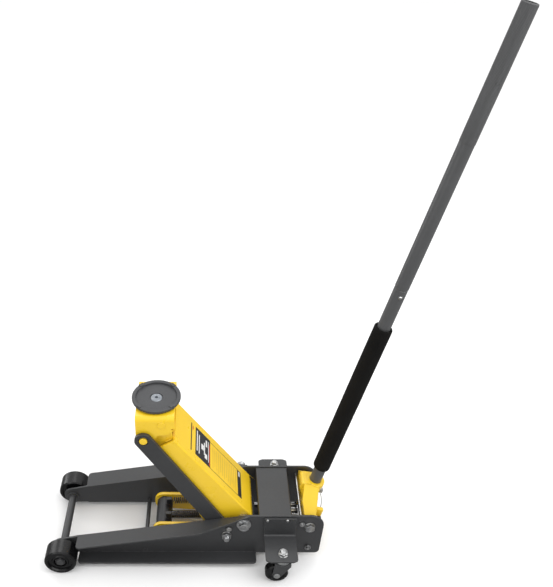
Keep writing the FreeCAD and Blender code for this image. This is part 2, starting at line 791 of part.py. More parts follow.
def level_link(label, sign):
    """Flat bar with round ends, parallel to the arm's pivot line."""
    body = new_body(label)
    start = f"{-sign} * link_inner"
    bar = new_sketch(body, "XZ_Plane", start)
    box_outline(bar, "0", "-link_half", "arm_length", "link_half")
    pad(body, bar, "link_gauge", reverse=sign > 0)
    for along in ("0", "arm_length"):
        end = new_sketch(body, "XZ_Plane", start)
        circle(end, along, "0", "link_half")
        pad(body, end, "link_gauge", reverse=sign > 0)
    holes(body, "XZ_Plane", [
        ("0", "0", "stud_radius + running"),
        ("arm_length", "0", "link_pin_radius + running"),
    ])
    recess = new_sketch(body, "XZ_Plane", f"{-sign} * (link_inner + link_gauge)")
    circle(recess, "arm_length", "0", "link_pin_radius + 3")
    cut(body, recess, "3", reverse=sign > 0)
    return part(place(body, "link_x", "0", LINK_Z, arm_turn()))


def link_studs():
    items = []
    for sign in (1, -1):
        stud = turned(f"link_stud_{'r' if sign < 0 else 'l'}", [
            ("0", "link_inner + 0.2"), ("stud_radius", "link_inner + 0.2"),
            ("stud_radius", "102"), ("stud_radius - 1.5", "104"), ("0", "104"),
        ])
        items.append(place(stud, "link_x", "0", LINK_Z, facing_y(sign)))
    return group("link_studs", items)


def link_nuts():
    items = []
    for sign in (1, -1):
        item = nut(f"link_nut_{'r' if sign < 0 else 'l'}", "13", "9", "stud_radius + 0.02")
        items.append(place(item, "link_x", f"{sign} * {WEB_OUTER}", LINK_Z, facing_y(sign)))
    return group("link_nuts", items)


def saddle():
    """Dish with a raised rim, a counterbore for its screw and four ribs on the rim."""
    dish = turned("saddle_dish", [
        ("8 + running", "bracket_top + 0.3"), ("50", "bracket_top + 0.3"),
        ("saddle_radius", "saddle_floor - 1"), ("saddle_radius", "saddle_rim - 1"),
        ("saddle_radius - 1", "saddle_rim"), ("saddle_bowl + 1.5", "saddle_rim"),
        ("saddle_bowl", "saddle_rim - 1.5"), ("saddle_bowl", "saddle_floor"),
        ("15.5", "saddle_floor"), ("15.5", "screw_recess"), ("8 + running", "screw_recess"),
    ])
    pieces = [place(dish)]
    for index in range(4):
        rib = box(f"saddle_rib_{index}", "8", "12", "3.8")
        turn = Rotation(Vector(0, 0, 1), 45 + 90 * index)
        corner = turn.multVec(Vector(number("saddle_bowl") + 1, -6, number("saddle_rim") - 1.5))
        rib.Placement = Placement(corner, turn)
        pieces.append(rib)
    item = DOC.addObject("Part::MultiFuse", "saddle")
    item.Shapes = pieces
    return part(place(item, f"{SHAFT_X} + saddle_ahead", "0", SHAFT_Z))


def saddle_screw():
    """Screw with a broad flat head, sunk in the saddle, on which the saddle turns."""
    screw = turned("saddle_screw", [
        ("0", "12"), ("8", "12"), ("8", "screw_recess + 0.2"), ("14", "screw_recess + 0.2"),
        ("14", "screw_recess + 0.8"), ("12.5", "saddle_floor - 0.3"),
        ("4", "saddle_floor - 0.3"), ("4", "screw_recess - 2"), ("0", "screw_recess - 2"),
    ])
    return part(place(screw, f"{SHAFT_X} + saddle_ahead", "0", SHAFT_Z))


# ---------------------------------------------------------------- pivots

def headed_bolt(label, across, up, radius, head, reach_left, reach_right):
    """A bolt across the frame with a round head on the left."""
    bolt = turned(label, [
        ("0", f"-({reach_right})"), (f"{radius} - 1.5", f"-({reach_right})"),
        (radius, f"-({reach_right}) + 2"), (radius, reach_left), (head, reach_left),
        (head, f"{reach_left} + 9"), (f"{head} - 2", f"{reach_left} + 11"),
        ("0", f"{reach_left} + 11"),
    ])
    return part(place(bolt, across, "0", up, facing_y(1)))


def pivot_spacers():
    """Washers and inner spacers on the arm's pivot bolt, and the yoke shaft's inner washers."""
    items = []
    arm_bore = "pivot_radius + 0.02"
    for sign in (1, -1):
        side = "r" if sign < 0 else "l"
        washer = ring(f"arm_washer_{side}", "18", arm_bore, "4")
        spacer = ring(f"arm_spacer_{side}", "18", arm_bore, "10.4")
        collar = ring(f"yoke_washer_{side}", "14", "yoke_radius + 0.02", "4.4")
        items.append(place(washer, "0", f"{sign} * {WEB_OUTER}", "pivot_z", facing_y(sign)))
        items.append(place(spacer, "0", f"{sign} * 70.5", "pivot_z", facing_y(sign)))
        items.append(place(collar, "yoke_x", f"{sign} * (yoke_reach + 0.4)", "yoke_z", facing_y(sign)))
    return group("pivot_spacers", items)


def pivot_nuts():
    """Nuts on the right ends of the arm's and the yoke's cross bolts."""
    arm = nut("arm_nut", "17.5", "16", "pivot_radius + 0.02")
    place(arm, "0", f"-({WEB_OUTER} + 4.2)", "pivot_z", facing_y(-1))
    yoke = nut("yoke_nut", "13.5", "9", "yoke_radius + 0.02")
    place(yoke, "yoke_x", f"-({WEB_OUTER} + 0.1)", "yoke_z", facing_y(-1))
    return group("pivot_nuts", [arm, yoke])


# ---------------------------------------------------------------- hydraulic unit

def crosshead():
    """Round bar between the pull links, bored for the ram, with two spring lugs."""
    body = new_body("crosshead")
    bar = new_sketch(body, "XZ_Plane")
    circle(bar, "0", "0", "crosshead_radius")
    pad(body, bar, "2 * pull_inner - 0.4", centred=True)
    for sign in (1, -1):
        lug = new_sketch(body, "XZ_Plane", f"{sign} * spring_y")
        box_outline(lug, "-20", "8", "-6", "36")
        pad(body, lug, "10", centred=True)
    socket = new_sketch(body, "YZ_Plane", "-6")
    circle(socket, "0", "0", "ram_radius + 0.02")
    cut(body, socket, "crosshead_radius", reverse=False)
    holes(body, "XZ_Plane", [("4", "0", "4")])
    return part(place(body, "crosshead_x", "0", "ram_z"))


def crosshead_pin():
    """Pin through the crosshead bar and both pull links."""
    pin = turned("crosshead_pin", [
        ("0", "-57"), ("9", "-57"), ("9", "-54.2"), ("3.98", "-54.2"), ("3.98", "54.2"),
        ("9", "54.2"), ("9", "57"), ("0", "57"),
    ])
    return part(place(pin, "crosshead_x + 4", "0", "ram_z", facing_y(1)))


def pull_link(label, sign):
    """Plate from the crosshead back to the arm's lobe pin, which rides in a long hole."""
    body = new_body(label)
    start = f"{-sign} * pull_inner"
    back = f"({LOBE_X} - crosshead_x)"
    plate = new_sketch(body, "XZ_Plane", start)
    polygon(plate, [
        (f"{back} - 21", "-39"), (f"{back} + 21", "-39"), ("-14", "-27"), ("27", "-27"),
        ("27", "27"), (f"{back} + 21", "25"), (f"{back} - 21", "25"),
    ])
    pad(body, plate, "pull_gauge", reverse=sign > 0)
    round_edges(body, "22", near([("27", "-27"), ("27", "27")]))
    round_edges(body, "12", near([(f"{back} - 21", "-39"), (f"{back} - 21", "25")]))
    slot = new_sketch(body, "XZ_Plane")
    box_outline(slot, f"{back} - 10", "-29", f"{back} + 10", "14")
    cut(body, slot)
    round_edges(body, "8", near([(f"{back} - 10", "-29"), (f"{back} + 10", "-29"),
                                 (f"{back} - 10", "14"), (f"{back} + 10", "14")]))
    holes(body, "XZ_Plane", [("4", "0", "4")])
    return part(place(body, "crosshead_x", "0", "ram_z"))


def ram():
    rod = turned("ram", [
        ("0", "52"), ("ram_radius - 1", "52"), ("ram_radius", "53"), ("ram_radius", "199"),
        ("ram_radius - 1", "199.9"), ("0", "199.9"),
    ])
    return part(place(rod, "0", "0", "ram_z", facing_x()))


def hydraulic_cylinder():
    """Cylinder with a rear flange and a front gland, bored for the ram."""
    body = turned("hydraulic_cylinder", [
        ("0", "cylinder_rear"), ("32", "cylinder_rear"), ("32", "cylinder_rear + 7"),
        ("cylinder_radius", "cylinder_rear + 7"), ("cylinder_radius", "cylinder_front - 10"),
        ("cylinder_radius + 2", "cylinder_front - 10"), ("cylinder_radius + 2", "cylinder_front - 1"),
        ("cylinder_radius + 1", "cylinder_front"), ("ram_radius + running", "cylinder_front"),
        ("ram_radius + running", "cylinder_rear + 8"), ("0", "cylinder_rear + 8"),
    ])
    return part(place(body, "0", "0", "ram_z", facing_x()))


def spring_anchor():
    """Clamp ring on the cylinder with an upright plate that holds the springs' rear ends."""
    body = new_body("spring_anchor")
    clamp = new_sketch(body, "YZ_Plane")
    circle(clamp, "0", "0", "cylinder_radius + 5")
    pad(body, clamp, "8")
    plate = new_sketch(body, "YZ_Plane")
    box_outline(plate, "-36", "12", "36", "36")
    pad(body, plate, "8")
    holes(body, "YZ_Plane", [("0", "0", "cylinder_radius + 0.02")])
    return part(place(body, "spring_rear - 8.5", "0", "ram_z"))


def return_spring(label, sign):
    """Close envelope of a return spring's coil."""
    length = "spring_front - spring_rear"
    item = ring(label, "spring_radius", "spring_radius - 2.5", length)
    return part(place(item, "spring_rear", f"{sign} * spring_y", "spring_z", facing_x()))


def pump_block():
    """Valve and pump casting behind the cylinder, bored for the two plungers."""
    body = new_body("pump_block")
    core = new_sketch(body, "XY_Plane", "32")
    box_outline(core, "-112", "-40", "cylinder_rear", "40")
    pad(body, core, "66")
    wings = new_sketch(body, "XY_Plane", "34")
    box_outline(wings, "-108", "0.2 - rail_inner", "-92", "rail_inner - 0.2")
    pad(body, wings, "54")
    round_edges(body, "3", lambda point, heading: upright(point, heading)
                and abs(abs(point.y) - 40) < 0.1 and point.x < -110)
    for sign in (1, -1):
        bore = new_sketch(body, "YZ_Plane", "-112")
        circle(bore, f"{sign} * plunger_y", "plunger_z", "6 + running")
        cut(body, bore, "45", reverse=True)
    valve = new_sketch(body, "YZ_Plane", "-112")
    circle(valve, "0", "48", "5 + running")
    cut(body, valve, "20", reverse=True)
    return part(body)


def pump_plungers():
    """Two plungers side by side that the yoke's roller pushes forward."""
    items = []
    for sign in (1, -1):
        rod = turned(f"plunger_{'r' if sign < 0 else 'l'}", [
            ("0", "0"), ("6.5", "0"), ("7.5", "1"), ("7.5", "6"), ("6", "6"), ("6", "44"), ("0", "44"),
        ])
        items.append(place(rod, "-145.9", f"{sign} * plunger_y", "plunger_z", facing_x()))
    return group("pump_plungers", items)


def release_valve():
    """Valve stem with a slotted drive end."""
    body = turned("release_valve", [
        ("0", "0"), ("8", "0"), ("8", "16"), ("5", "18"), ("5", "54"), ("0", "54"),
    ])
    slot = new_sketch(body, "XZ_Plane")
    box_outline(slot, "-10", "-2", "10", "8")
    slot_cut(body, slot, "5")
    return part(place(body, "-150", "0", "48", facing_x()))


# ---------------------------------------------------------------- handle

def handle_yoke():
    """Casting on the cross shaft: two legs, push arms, a socket with a collar and a front nose."""
    body = new_body("handle_yoke")
    arms = new_sketch(body, "XZ_Plane")
    polygon(arms, [
        ("-16.5", "0"), ("-11", "-push_arm - 9"), ("9", "-push_arm - 9"), ("12", "-12"),
        ("16", "10"), ("-16.5", "20"),
    ])
    pad(body, arms, "2 * yoke_half", centred=True)
    round_edges(body, "8", near([("-11", "-push_arm - 9"), ("9", "-push_arm - 9")]))
    boss = new_sketch(body, "XZ_Plane")
    circle(boss, "0", "0", "16.5")
    pad(body, boss, "2 * yoke_reach", centred=True)
    legs = new_sketch(body, "XZ_Plane")
    polygon(legs, [
        ("-16.5", "0"), ("16", "4"), ("20.5", "24"), ("31", "50"), ("31", "79"), ("-8", "79"),
        ("-10", "28"),
    ])
    pad(body, legs, "2 * yoke_reach", centred=True)
    for sign in (1, -1):
        shoulder = new_sketch(body, "YZ_Plane")
        polygon(shoulder, [
            (f"{sign} * (yoke_reach + 1)", "24"), (f"{sign} * 22", "78"),
            (f"{sign} * 22", "90"), (f"{sign} * (yoke_reach + 1)", "90"),
        ])
        slot_cut(body, shoulder, "120")
    nose = new_sketch(body, "XZ_Plane")
    polygon(nose, [("0", "34"), ("25", "34"), ("37", "62"), ("37", "79"), ("0", "79")])
    pad(body, nose, "42", centred=True)
    round_edges(body, "7", near([("37", "79"), ("37", "62")]))
    gap = new_sketch(body, "XZ_Plane")
    box_outline(gap, "-40", "-70", "40", "20")
    slot_cut(body, gap, "36")
    waist = new_sketch(body, "XZ_Plane")
    circle(waist, "29", "20", "15")
    slot_cut(body, waist, "72")
    socket = new_sketch(body, "XY_Plane", "22")
    circle(socket, "0", "0", "21.5")
    pad(body, socket, "58")
    collar = new_sketch(body, "XY_Plane", "68")
    circle(collar, "0", "0", "24.5")
    pad(body, collar, "12")
    bore = new_sketch(body, "XY_Plane", "24")
    circle(bore, "0", "0", "tube_radius + running")
    cut(body, bore, "100", reverse=True)
    holes(body, "XZ_Plane", [
        ("0", "0", "yoke_radius + running"),
        ("0", "-push_arm", "5 + 0.02"),
    ])
    screw_hole = new_sketch(body, "YZ_Plane", "-50")
    circle(screw_hole, "0", "44", "4.02")
    cut(body, screw_hole, "40", reverse=True)
    return part(place(body, "yoke_x", "0", "yoke_z", handle_turn()))


def yoke_roller():
    """Roller with its pin, at the foot of the yoke, that works the plungers."""
    roller = turned("yoke_roller", [
        ("0", "-31"), ("5", "-31"), ("5", "-17.5"), ("9", "-17.5"), ("9", "17.5"),
        ("5", "17.5"), ("5", "31"), ("0", "31"),
    ])
    across, up = handle_spot("0", "-push_arm")
    return part(place(roller, across, "0", up, facing_y(1)))


def lock_bolt():
    """Bolt at the rear of the socket that clamps the handle."""
    head = DOC.addObject("Part::Prism", "lock_bolt_head")
    head.Polygon = 6
    head.Circumradius = 8
    head.Height = 6
    head.Placement = Placement(Vector(0, 0, -15), Rotation())
    shank = cylinder("lock_bolt_shank", "4", "14")
    shank.Placement = Placement(Vector(0, 0, -14.4), Rotation())
    item = DOC.addObject("Part::Fuse", "lock_bolt")
    item.Base = head
    item.Tool = shank
    across, up = handle_spot("-15.2", "44")
    turn = handle_turn() * facing_x()
    return part(place(item, across, "0", up, turn))


def handle_tube(label, profile):
    return part(place(turned(label, profile), "yoke_x", "0", "yoke_z", handle_turn()))


def button_hole(body):
    """Hole for the spring button, on the handle's left."""
    before = body.Shape.Volume
    sketch = new_sketch(body, "XZ_Plane")
    circle(sketch, "0", "button_at", "button_radius + running")
    feature = body.newObject("PartDesign::Pocket", "Pocket")
    feature.Profile = sketch
    feature.Length = 40
    feature.Reversed = False
    DOC.recompute()
    if body.Shape.Volume >= before:
        raise RuntimeError(f"{body.Label}: the button's hole removes nothing")


def lower_handle():
    tube = handle_tube("handle_lower", [
        ("tube_bore", "26"), ("tube_radius", "26"), ("tube_radius", "joint_at - 1"),
        ("tube_radius - 1", "joint_at"), ("tube_bore", "joint_at"),
    ])
    button_hole(tube)
    return tube


def upper_handle():
    """Upper tube with a spigot that plugs into the lower one and a knurled grip."""
    tube = handle_tube("handle_upper", [
        ("10", "600"), ("tube_bore - 0.2", "600"), ("tube_bore - 0.2", "joint_at + 0.3"),
        ("tube_radius - 0.5", "joint_at + 0.3"), ("tube_radius + 0.5", "joint_at + 3"),
        ("tube_radius + 0.5", "knurl_at"), ("tube_radius + 1", "knurl_at + 1"),
        ("tube_radius + 1", "handle_top - 2"), ("tube_radius - 0.5", "handle_top"),
        ("13", "handle_top"), ("13", "joint_at + 8"), ("10", "joint_at + 2"),
    ])
    button_hole(tube)
    return tube


def foam_sleeve():
    return handle_tube("handle_foam", [
        ("tube_radius + 0.02", "foam_start"), ("foam_radius - 4", "foam_start"),
        ("foam_radius", "foam_start + 5"), ("foam_radius", "foam_end - 5"),
        ("foam_radius - 4", "foam_end"), ("tube_radius + 0.02", "foam_end"),
    ])


def spring_button():
    button = turned("handle_button", [
        ("0", "9"), ("button_radius", "9"), ("button_radius", "15.5"), ("2.5", "17"), ("0", "17.3"),
    ])
    across, up = handle_spot("0", "button_at")
    return part(place(button, across, "0", up, facing_y(1)))


# ---------------------------------------------------------------- assembly and export

def build():
    fill_sheet()
    for side, sign in (("left", 1), ("right", -1)):
        rail(f"rail_{side}", sign)
        front_roller(f"front_roller_{side}", sign)
        caster_bracket(f"caster_bracket_{side}", sign)
        caster_fork(f"caster_fork_{side}", sign)
        caster_race(f"caster_race_{side}", sign)
        caster_axle(f"caster_axle_{side}", sign)
        caster_wheel(f"caster_wheel_{side}", sign)
        level_link(f"level_link_{side}", sign)
        pull_link(f"pull_link_{side}", sign)
        return_spring(f"return_spring_{side}", sign)
    crossmember()
    side_screws()
    front_axle()
    axle_nuts()
    tie_rod("front_tie_rod", "front_tie_x", "front_tie_z", "5.5", "rail_inner + rail_gauge")
    tie_rod("rear_tie_rod", "tie_x", "tie_z", "4", "rail_inner + rail_gauge + 6")
    tie_rod("lower_tie_rod", "yoke_x", "low_tie_z", "5", "rail_inner + rail_gauge + 7")
    tie_rod_nuts()
    stop_bolts()
    king_pins()
    king_pin_nuts()
    headed_bolt("arm_pivot_bolt", "0", "pivot_z", "pivot_radius", "14.8",
                f"{WEB_OUTER} + 4.1", "118")
    headed_bolt("yoke_shaft", "yoke_x", "yoke_z", "yoke_radius", "13.5", f"{WEB_OUTER} + 0.1", "99")
    pivot_spacers()
    pivot_nuts()
    lift_arm()
    arm_nose()
    saddle_shaft()
    lobe_pins()
    saddle_bracket()
    link_pins()
    link_studs()
    link_nuts()
    saddle()
    saddle_screw()
    crosshead()
    crosshead_pin()
    ram()
    hydraulic_cylinder()
    spring_anchor()
    pump_block()
    pump_plungers()
    release_valve()
    handle_yoke()
    yoke_roller()
    lock_bolt()
    lower_handle()
    upper_handle()
    foam_sleeve()
    spring_button()
    DOC.recompute()


def faults():
    """Every object that failed, and every sub-part without a sound shape."""
    found = []
    for item in DOC.Objects:
        if "Invalid" in item.State or "Error" in item.State:
            found.append(f"{item.Label}: {item.State}")
    for item in PARTS:
        if item.Shape.isNull() or not item.Shape.isValid() or not item.Shape.Solids:
            found.append(f"{item.Label}: no sound shape")
    return found


def export():
    os.makedirs("parts", exist_ok=True)
    for item in PARTS:
        item.Shape.exportStep(os.path.join("parts", f"{item.Label}.step"))
        print(f"{item.Label}: {len(item.Shape.Solids)} solid(s), {item.Shape.Volume / 1000:.1f} cm3")


build()
problems = faults()
if problems:
    raise RuntimeError("; ".join(problems))
export()
print(f"{len(PARTS)} sub-parts")
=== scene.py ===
"""Finishes, fasteners, springs and fine detail for the floor jack's CAD frame."""
import json
import math

import bmesh
import bpy
from mathutils import Matrix, Vector, noise

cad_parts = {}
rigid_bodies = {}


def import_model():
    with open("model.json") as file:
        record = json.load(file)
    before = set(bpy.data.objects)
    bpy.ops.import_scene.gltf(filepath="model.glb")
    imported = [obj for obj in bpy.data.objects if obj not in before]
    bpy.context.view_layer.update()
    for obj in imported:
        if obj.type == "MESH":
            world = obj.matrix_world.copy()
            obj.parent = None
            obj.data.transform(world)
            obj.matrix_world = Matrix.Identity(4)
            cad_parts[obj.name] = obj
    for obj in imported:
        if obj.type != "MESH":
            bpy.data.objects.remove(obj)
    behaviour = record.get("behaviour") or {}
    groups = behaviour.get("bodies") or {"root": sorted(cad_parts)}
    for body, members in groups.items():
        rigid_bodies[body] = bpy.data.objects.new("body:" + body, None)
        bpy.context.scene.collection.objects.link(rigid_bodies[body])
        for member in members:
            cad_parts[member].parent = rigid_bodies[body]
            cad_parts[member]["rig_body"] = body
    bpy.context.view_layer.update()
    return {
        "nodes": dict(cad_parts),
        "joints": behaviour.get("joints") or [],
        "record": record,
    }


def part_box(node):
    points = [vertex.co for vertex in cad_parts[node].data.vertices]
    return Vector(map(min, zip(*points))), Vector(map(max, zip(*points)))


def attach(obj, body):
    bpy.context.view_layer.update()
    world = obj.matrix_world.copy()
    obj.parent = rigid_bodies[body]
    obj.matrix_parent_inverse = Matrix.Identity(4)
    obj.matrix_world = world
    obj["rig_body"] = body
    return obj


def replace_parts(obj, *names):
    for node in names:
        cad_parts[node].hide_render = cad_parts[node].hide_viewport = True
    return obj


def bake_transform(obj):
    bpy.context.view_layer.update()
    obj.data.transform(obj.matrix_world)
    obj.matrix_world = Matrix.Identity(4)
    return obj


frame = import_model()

MM = 0.001
BEVEL_SEGMENTS = 2
BEVEL_FROM_DEGREES = 28
RAIL_FACE = 86
X_AXIS = Vector((1, 0, 0))
Y_AXIS = Vector((0, 1, 0))
Z_AXIS = Vector((0, 0, 1))


# ---------------------------------------------------------------- places, from the CAD

def middle(node):
    """Centre of a CAD node's box, on the jack's middle plane."""
    low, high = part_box(node)
    spot = (low + high) / 2
    return Vector((spot.x, 0, spot.z))


def joint(name):
    return [item for item in frame["joints"] if item["name"] == name][0]


PIVOT = middle("arm_pivot_bolt")
SHAFT = middle("saddle_shaft")
ALONG = (SHAFT - PIVOT).normalized()
ACROSS = Vector((-ALONG.z, 0, ALONG.x))
YOKE = Vector(joint("handle_pump")["pos_m"])
LEAN = Vector(joint("handle_twist")["axis"]).normalized()
AHEAD = Vector((LEAN.z, 0, -LEAN.x))


def on_arm(along, side, across):
    """A point from the arm's own millimetres: along its pivot line, to the left, across it."""
    return PIVOT + ALONG * along * MM + Y_AXIS * side * MM + ACROSS * across * MM


def on_handle(ahead, side, up):
    """A point from the handle's own millimetres."""
    return YOKE + AHEAD * ahead * MM + Y_AXIS * side * MM + LEAN * up * MM


# ---------------------------------------------------------------- mesh helpers

def finish_mesh(name, bm, body, material, sharp=32):
    """Turn a bmesh into a shown piece that rides on a body."""
    bmesh.ops.recalc_face_normals(bm, faces=bm.faces)
    mesh = bpy.data.meshes.new(name)
    bm.to_mesh(mesh)
    bm.free()
    for face in mesh.polygons:
        face.use_smooth = True
    mesh.set_sharp_from_angle(angle=math.radians(sharp))
    item = bpy.data.objects.new(name, mesh)
    bpy.context.scene.collection.objects.link(item)
    mesh.materials.append(material)
    if body:
        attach(item, body)
    return item


def turn_to(axis):
    return Z_AXIS.rotation_difference(Vector(axis)).to_matrix()


def lathe(bm, base, axis, profile, steps=64, closed=False, shape=None):
    """Turn (radius, height) points in millimetres about an axis; shape may alter each point."""
    turn = turn_to(axis)
    rings = []
    for radius, height in profile:
        count = 1 if radius == 0 else steps
        ring = []
        for step in range(count):
            angle = 2 * math.pi * step / steps
            out, up = shape(angle, radius, height) if shape else (radius, height)
            spot = Vector((out * math.cos(angle), out * math.sin(angle), up)) * MM
            ring.append(bm.verts.new(base + turn @ spot))
        rings.append(ring)
    pairs = list(zip(rings, rings[1:]))
    if closed:
        pairs.append((rings[-1], rings[0]))
    for low, high in pairs:
        for step in range(steps):
            after = (step + 1) % steps
            corners = [low[step % len(low)], low[after % len(low)],
                       high[after % len(high)], high[step % len(high)]]
            unique = list(dict.fromkeys(corners))
            if len(unique) > 2:
                bm.faces.new(unique)


def rod(bm, base, axis, radius, length, steps=48):
    """A plain round shank with flat ends."""
    lathe(bm, base, axis, [(0, 0), (radius, 0), (radius, length), (0, length)], steps)


def hexagon(angle, flats):
    """Distance from the middle of a hexagon to its side."""
    return flats / 2 / math.cos((angle + math.pi / 6) % (math.pi / 3) - math.pi / 6)


def hex_body(bm, base, axis, flats, height, bore=0.0, dish=0.0):
    """Hexagonal nut or bolt head with a turned chamfer and a washer face."""
    face = flats * 0.475

    def shape(angle, mark, level):
        side = hexagon(angle, flats)
        if mark == 1:
            return side, level + (face - side) * 0.55
        if mark == 2:
            return side, level - (face - side) * 0.3
        return mark, level

    profile = [(bore, 0.3)] if bore else [(0, 0.3)]
    profile += [(face - 0.2, 0), (2, 0.5), (1, height - 0.2), (face, height)]
    if bore:
        profile += [(bore + 0.8, height), (bore, height - 0.8)]
    elif dish:
        profile += [(face * 0.72, height), (face * 0.62, height - dish), (0, height - dish)]
    else:
        profile += [(0, height)]
    lathe(bm, base, axis, profile, 72, closed=bool(bore), shape=shape)


def thread(bm, base, axis, radius, length, pitch=1.5):
    """Screw end: a helical ridge with a chamfered tip."""
    rows = int(length / pitch * 4)
    profile = [(0, 0)]
    for row in range(rows + 1):
        profile.append((radius, length * row / rows))
    profile += [(radius * 0.82, length + 1), (0, length + 1)]

    def shape(angle, out, up):
        if out < radius * 0.9:
            return out, up
        phase = (up / pitch + angle / (2 * math.pi)) % 1
        depth = 0.32 * pitch * abs(2 * phase - 1)
        taper = min(1, max(0.2, (length - up) / pitch))
        return out - 0.1 - depth * taper - (1 - taper) * 0.6, up

    lathe(bm, base, axis, profile, 32, shape=shape)


def washer(bm, base, axis, outer, inner, height):
    lathe(bm, base, axis, [(inner, 0), (outer - 0.4, 0), (outer, 0.4), (outer, height - 0.5),
                           (outer - 0.5, height), (inner, height)], 64, closed=True)


def handle_block(bm, low, high, soften):
    """A softened box between two corners in the handle's millimetres."""
    box = bmesh.ops.create_cube(bm, size=1)["verts"]
    size = Vector(high) - Vector(low)
    centre = (Vector(high) + Vector(low)) / 2
    for vert in box:
        vert.co = Vector([vert.co[axis] * size[axis] + centre[axis] for axis in range(3)])
    edges = list({edge for vert in box for edge in vert.link_edges})
    made = bmesh.ops.bevel(bm, geom=edges, offset=soften, segments=2, affect="EDGES", profile=0.6)
    verts = {vert for face in made["faces"] for vert in face.verts}
    verts |= {vert for vert in box if vert.is_valid}
    grown = set(verts)
    for vert in verts:
        for edge in vert.link_edges:
            grown.add(edge.other_vert(vert))
    for vert in grown:
        vert.co = on_handle(*vert.co)


def sweep(bm, points, radius, sides=10):
    """A closed round wire along points; radius is one number or one for each point, in metres."""
    radii = radius if isinstance(radius, list) else [radius] * len(points)
    heading = (points[1] - points[0]).normalized()
    normal = heading.orthogonal().normalized()
    rings = []
    for index, point in enumerate(points):
        before = points[max(index - 1, 0)]
        after = points[min(index + 1, len(points) - 1)]
        fresh = (after - before).normalized()
        normal = (heading.rotation_difference(fresh) @ normal)
        normal = (normal - fresh * normal.dot(fresh)).normalized()
        heading = fresh
        side = heading.cross(normal)
        ring = []
        for step in range(sides):
            angle = 2 * math.pi * step / sides
            ring.append(bm.verts.new(point + (normal * math.cos(angle) + side * math.sin(angle))
                                     * radii[index]))
        rings.append(ring)
    for low, high in zip(rings, rings[1:]):
        for step in range(sides):
            after = (step + 1) % sides
            bm.faces.new([low[step], low[after], high[after], high[step]])
    bm.faces.new(list(reversed(rings[0])))
    bm.faces.new(rings[-1])


def weld(bm, start, end, size=3.0):
    """A weld bead in overlapping ripples between two points."""
    length = (end - start).length / MM
    count = max(int(length / 0.5), 8)
    points, radii = [], []
    for index in range(count + 1):
        share = index / count
        wobble = noise.noise((start + end) * 40 + Vector((index * 0.13, 0, 0))) * 0.25
        ripple = 0.88 + 0.12 * abs(math.sin(index * 0.5 * math.pi / 1.6))
        ends = min(1, 0.45 + min(share, 1 - share) * length / (size * 1.2))
        points.append(start.lerp(end, share) + Vector((wobble, wobble, wobble)) * 0.3 * MM)
        radii.append(size * MM * ripple * (1 + wobble * 0.2) * ends)
    sweep(bm, points, radii, 12)


def refined(node, width):
    """A copy of a CAD node with its sharp edges softened, standing for the node."""
    source = frame["nodes"][node]
    bm = bmesh.new()
    bm.from_mesh(source.data)
    bmesh.ops.remove_doubles(bm, verts=bm.verts, dist=2e-6)
    bmesh.ops.dissolve_degenerate(bm, dist=5e-6, edges=bm.edges)
    sharp = [edge for edge in bm.edges
             if edge.is_manifold
             and math.degrees(edge.calc_face_angle(0)) > BEVEL_FROM_DEGREES]
    bmesh.ops.bevel(bm, geom=sharp, offset=width * MM, segments=BEVEL_SEGMENTS,
                    affect="EDGES", profile=0.5, clamp_overlap=False, harden_normals=False)
    body = source["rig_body"]
    slot = SLOT_OF[node]
    look = LOOKS[OWN_LOOK.get(node, slot)]
    item = finish_mesh(node + "_skin", bm, body, look, sharp=38)
    fix = item.modifiers.new("normals", "WEIGHTED_NORMAL")
    fix.keep_sharp = True
    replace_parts(item, node)


# ---------------------------------------------------------------- shader helpers

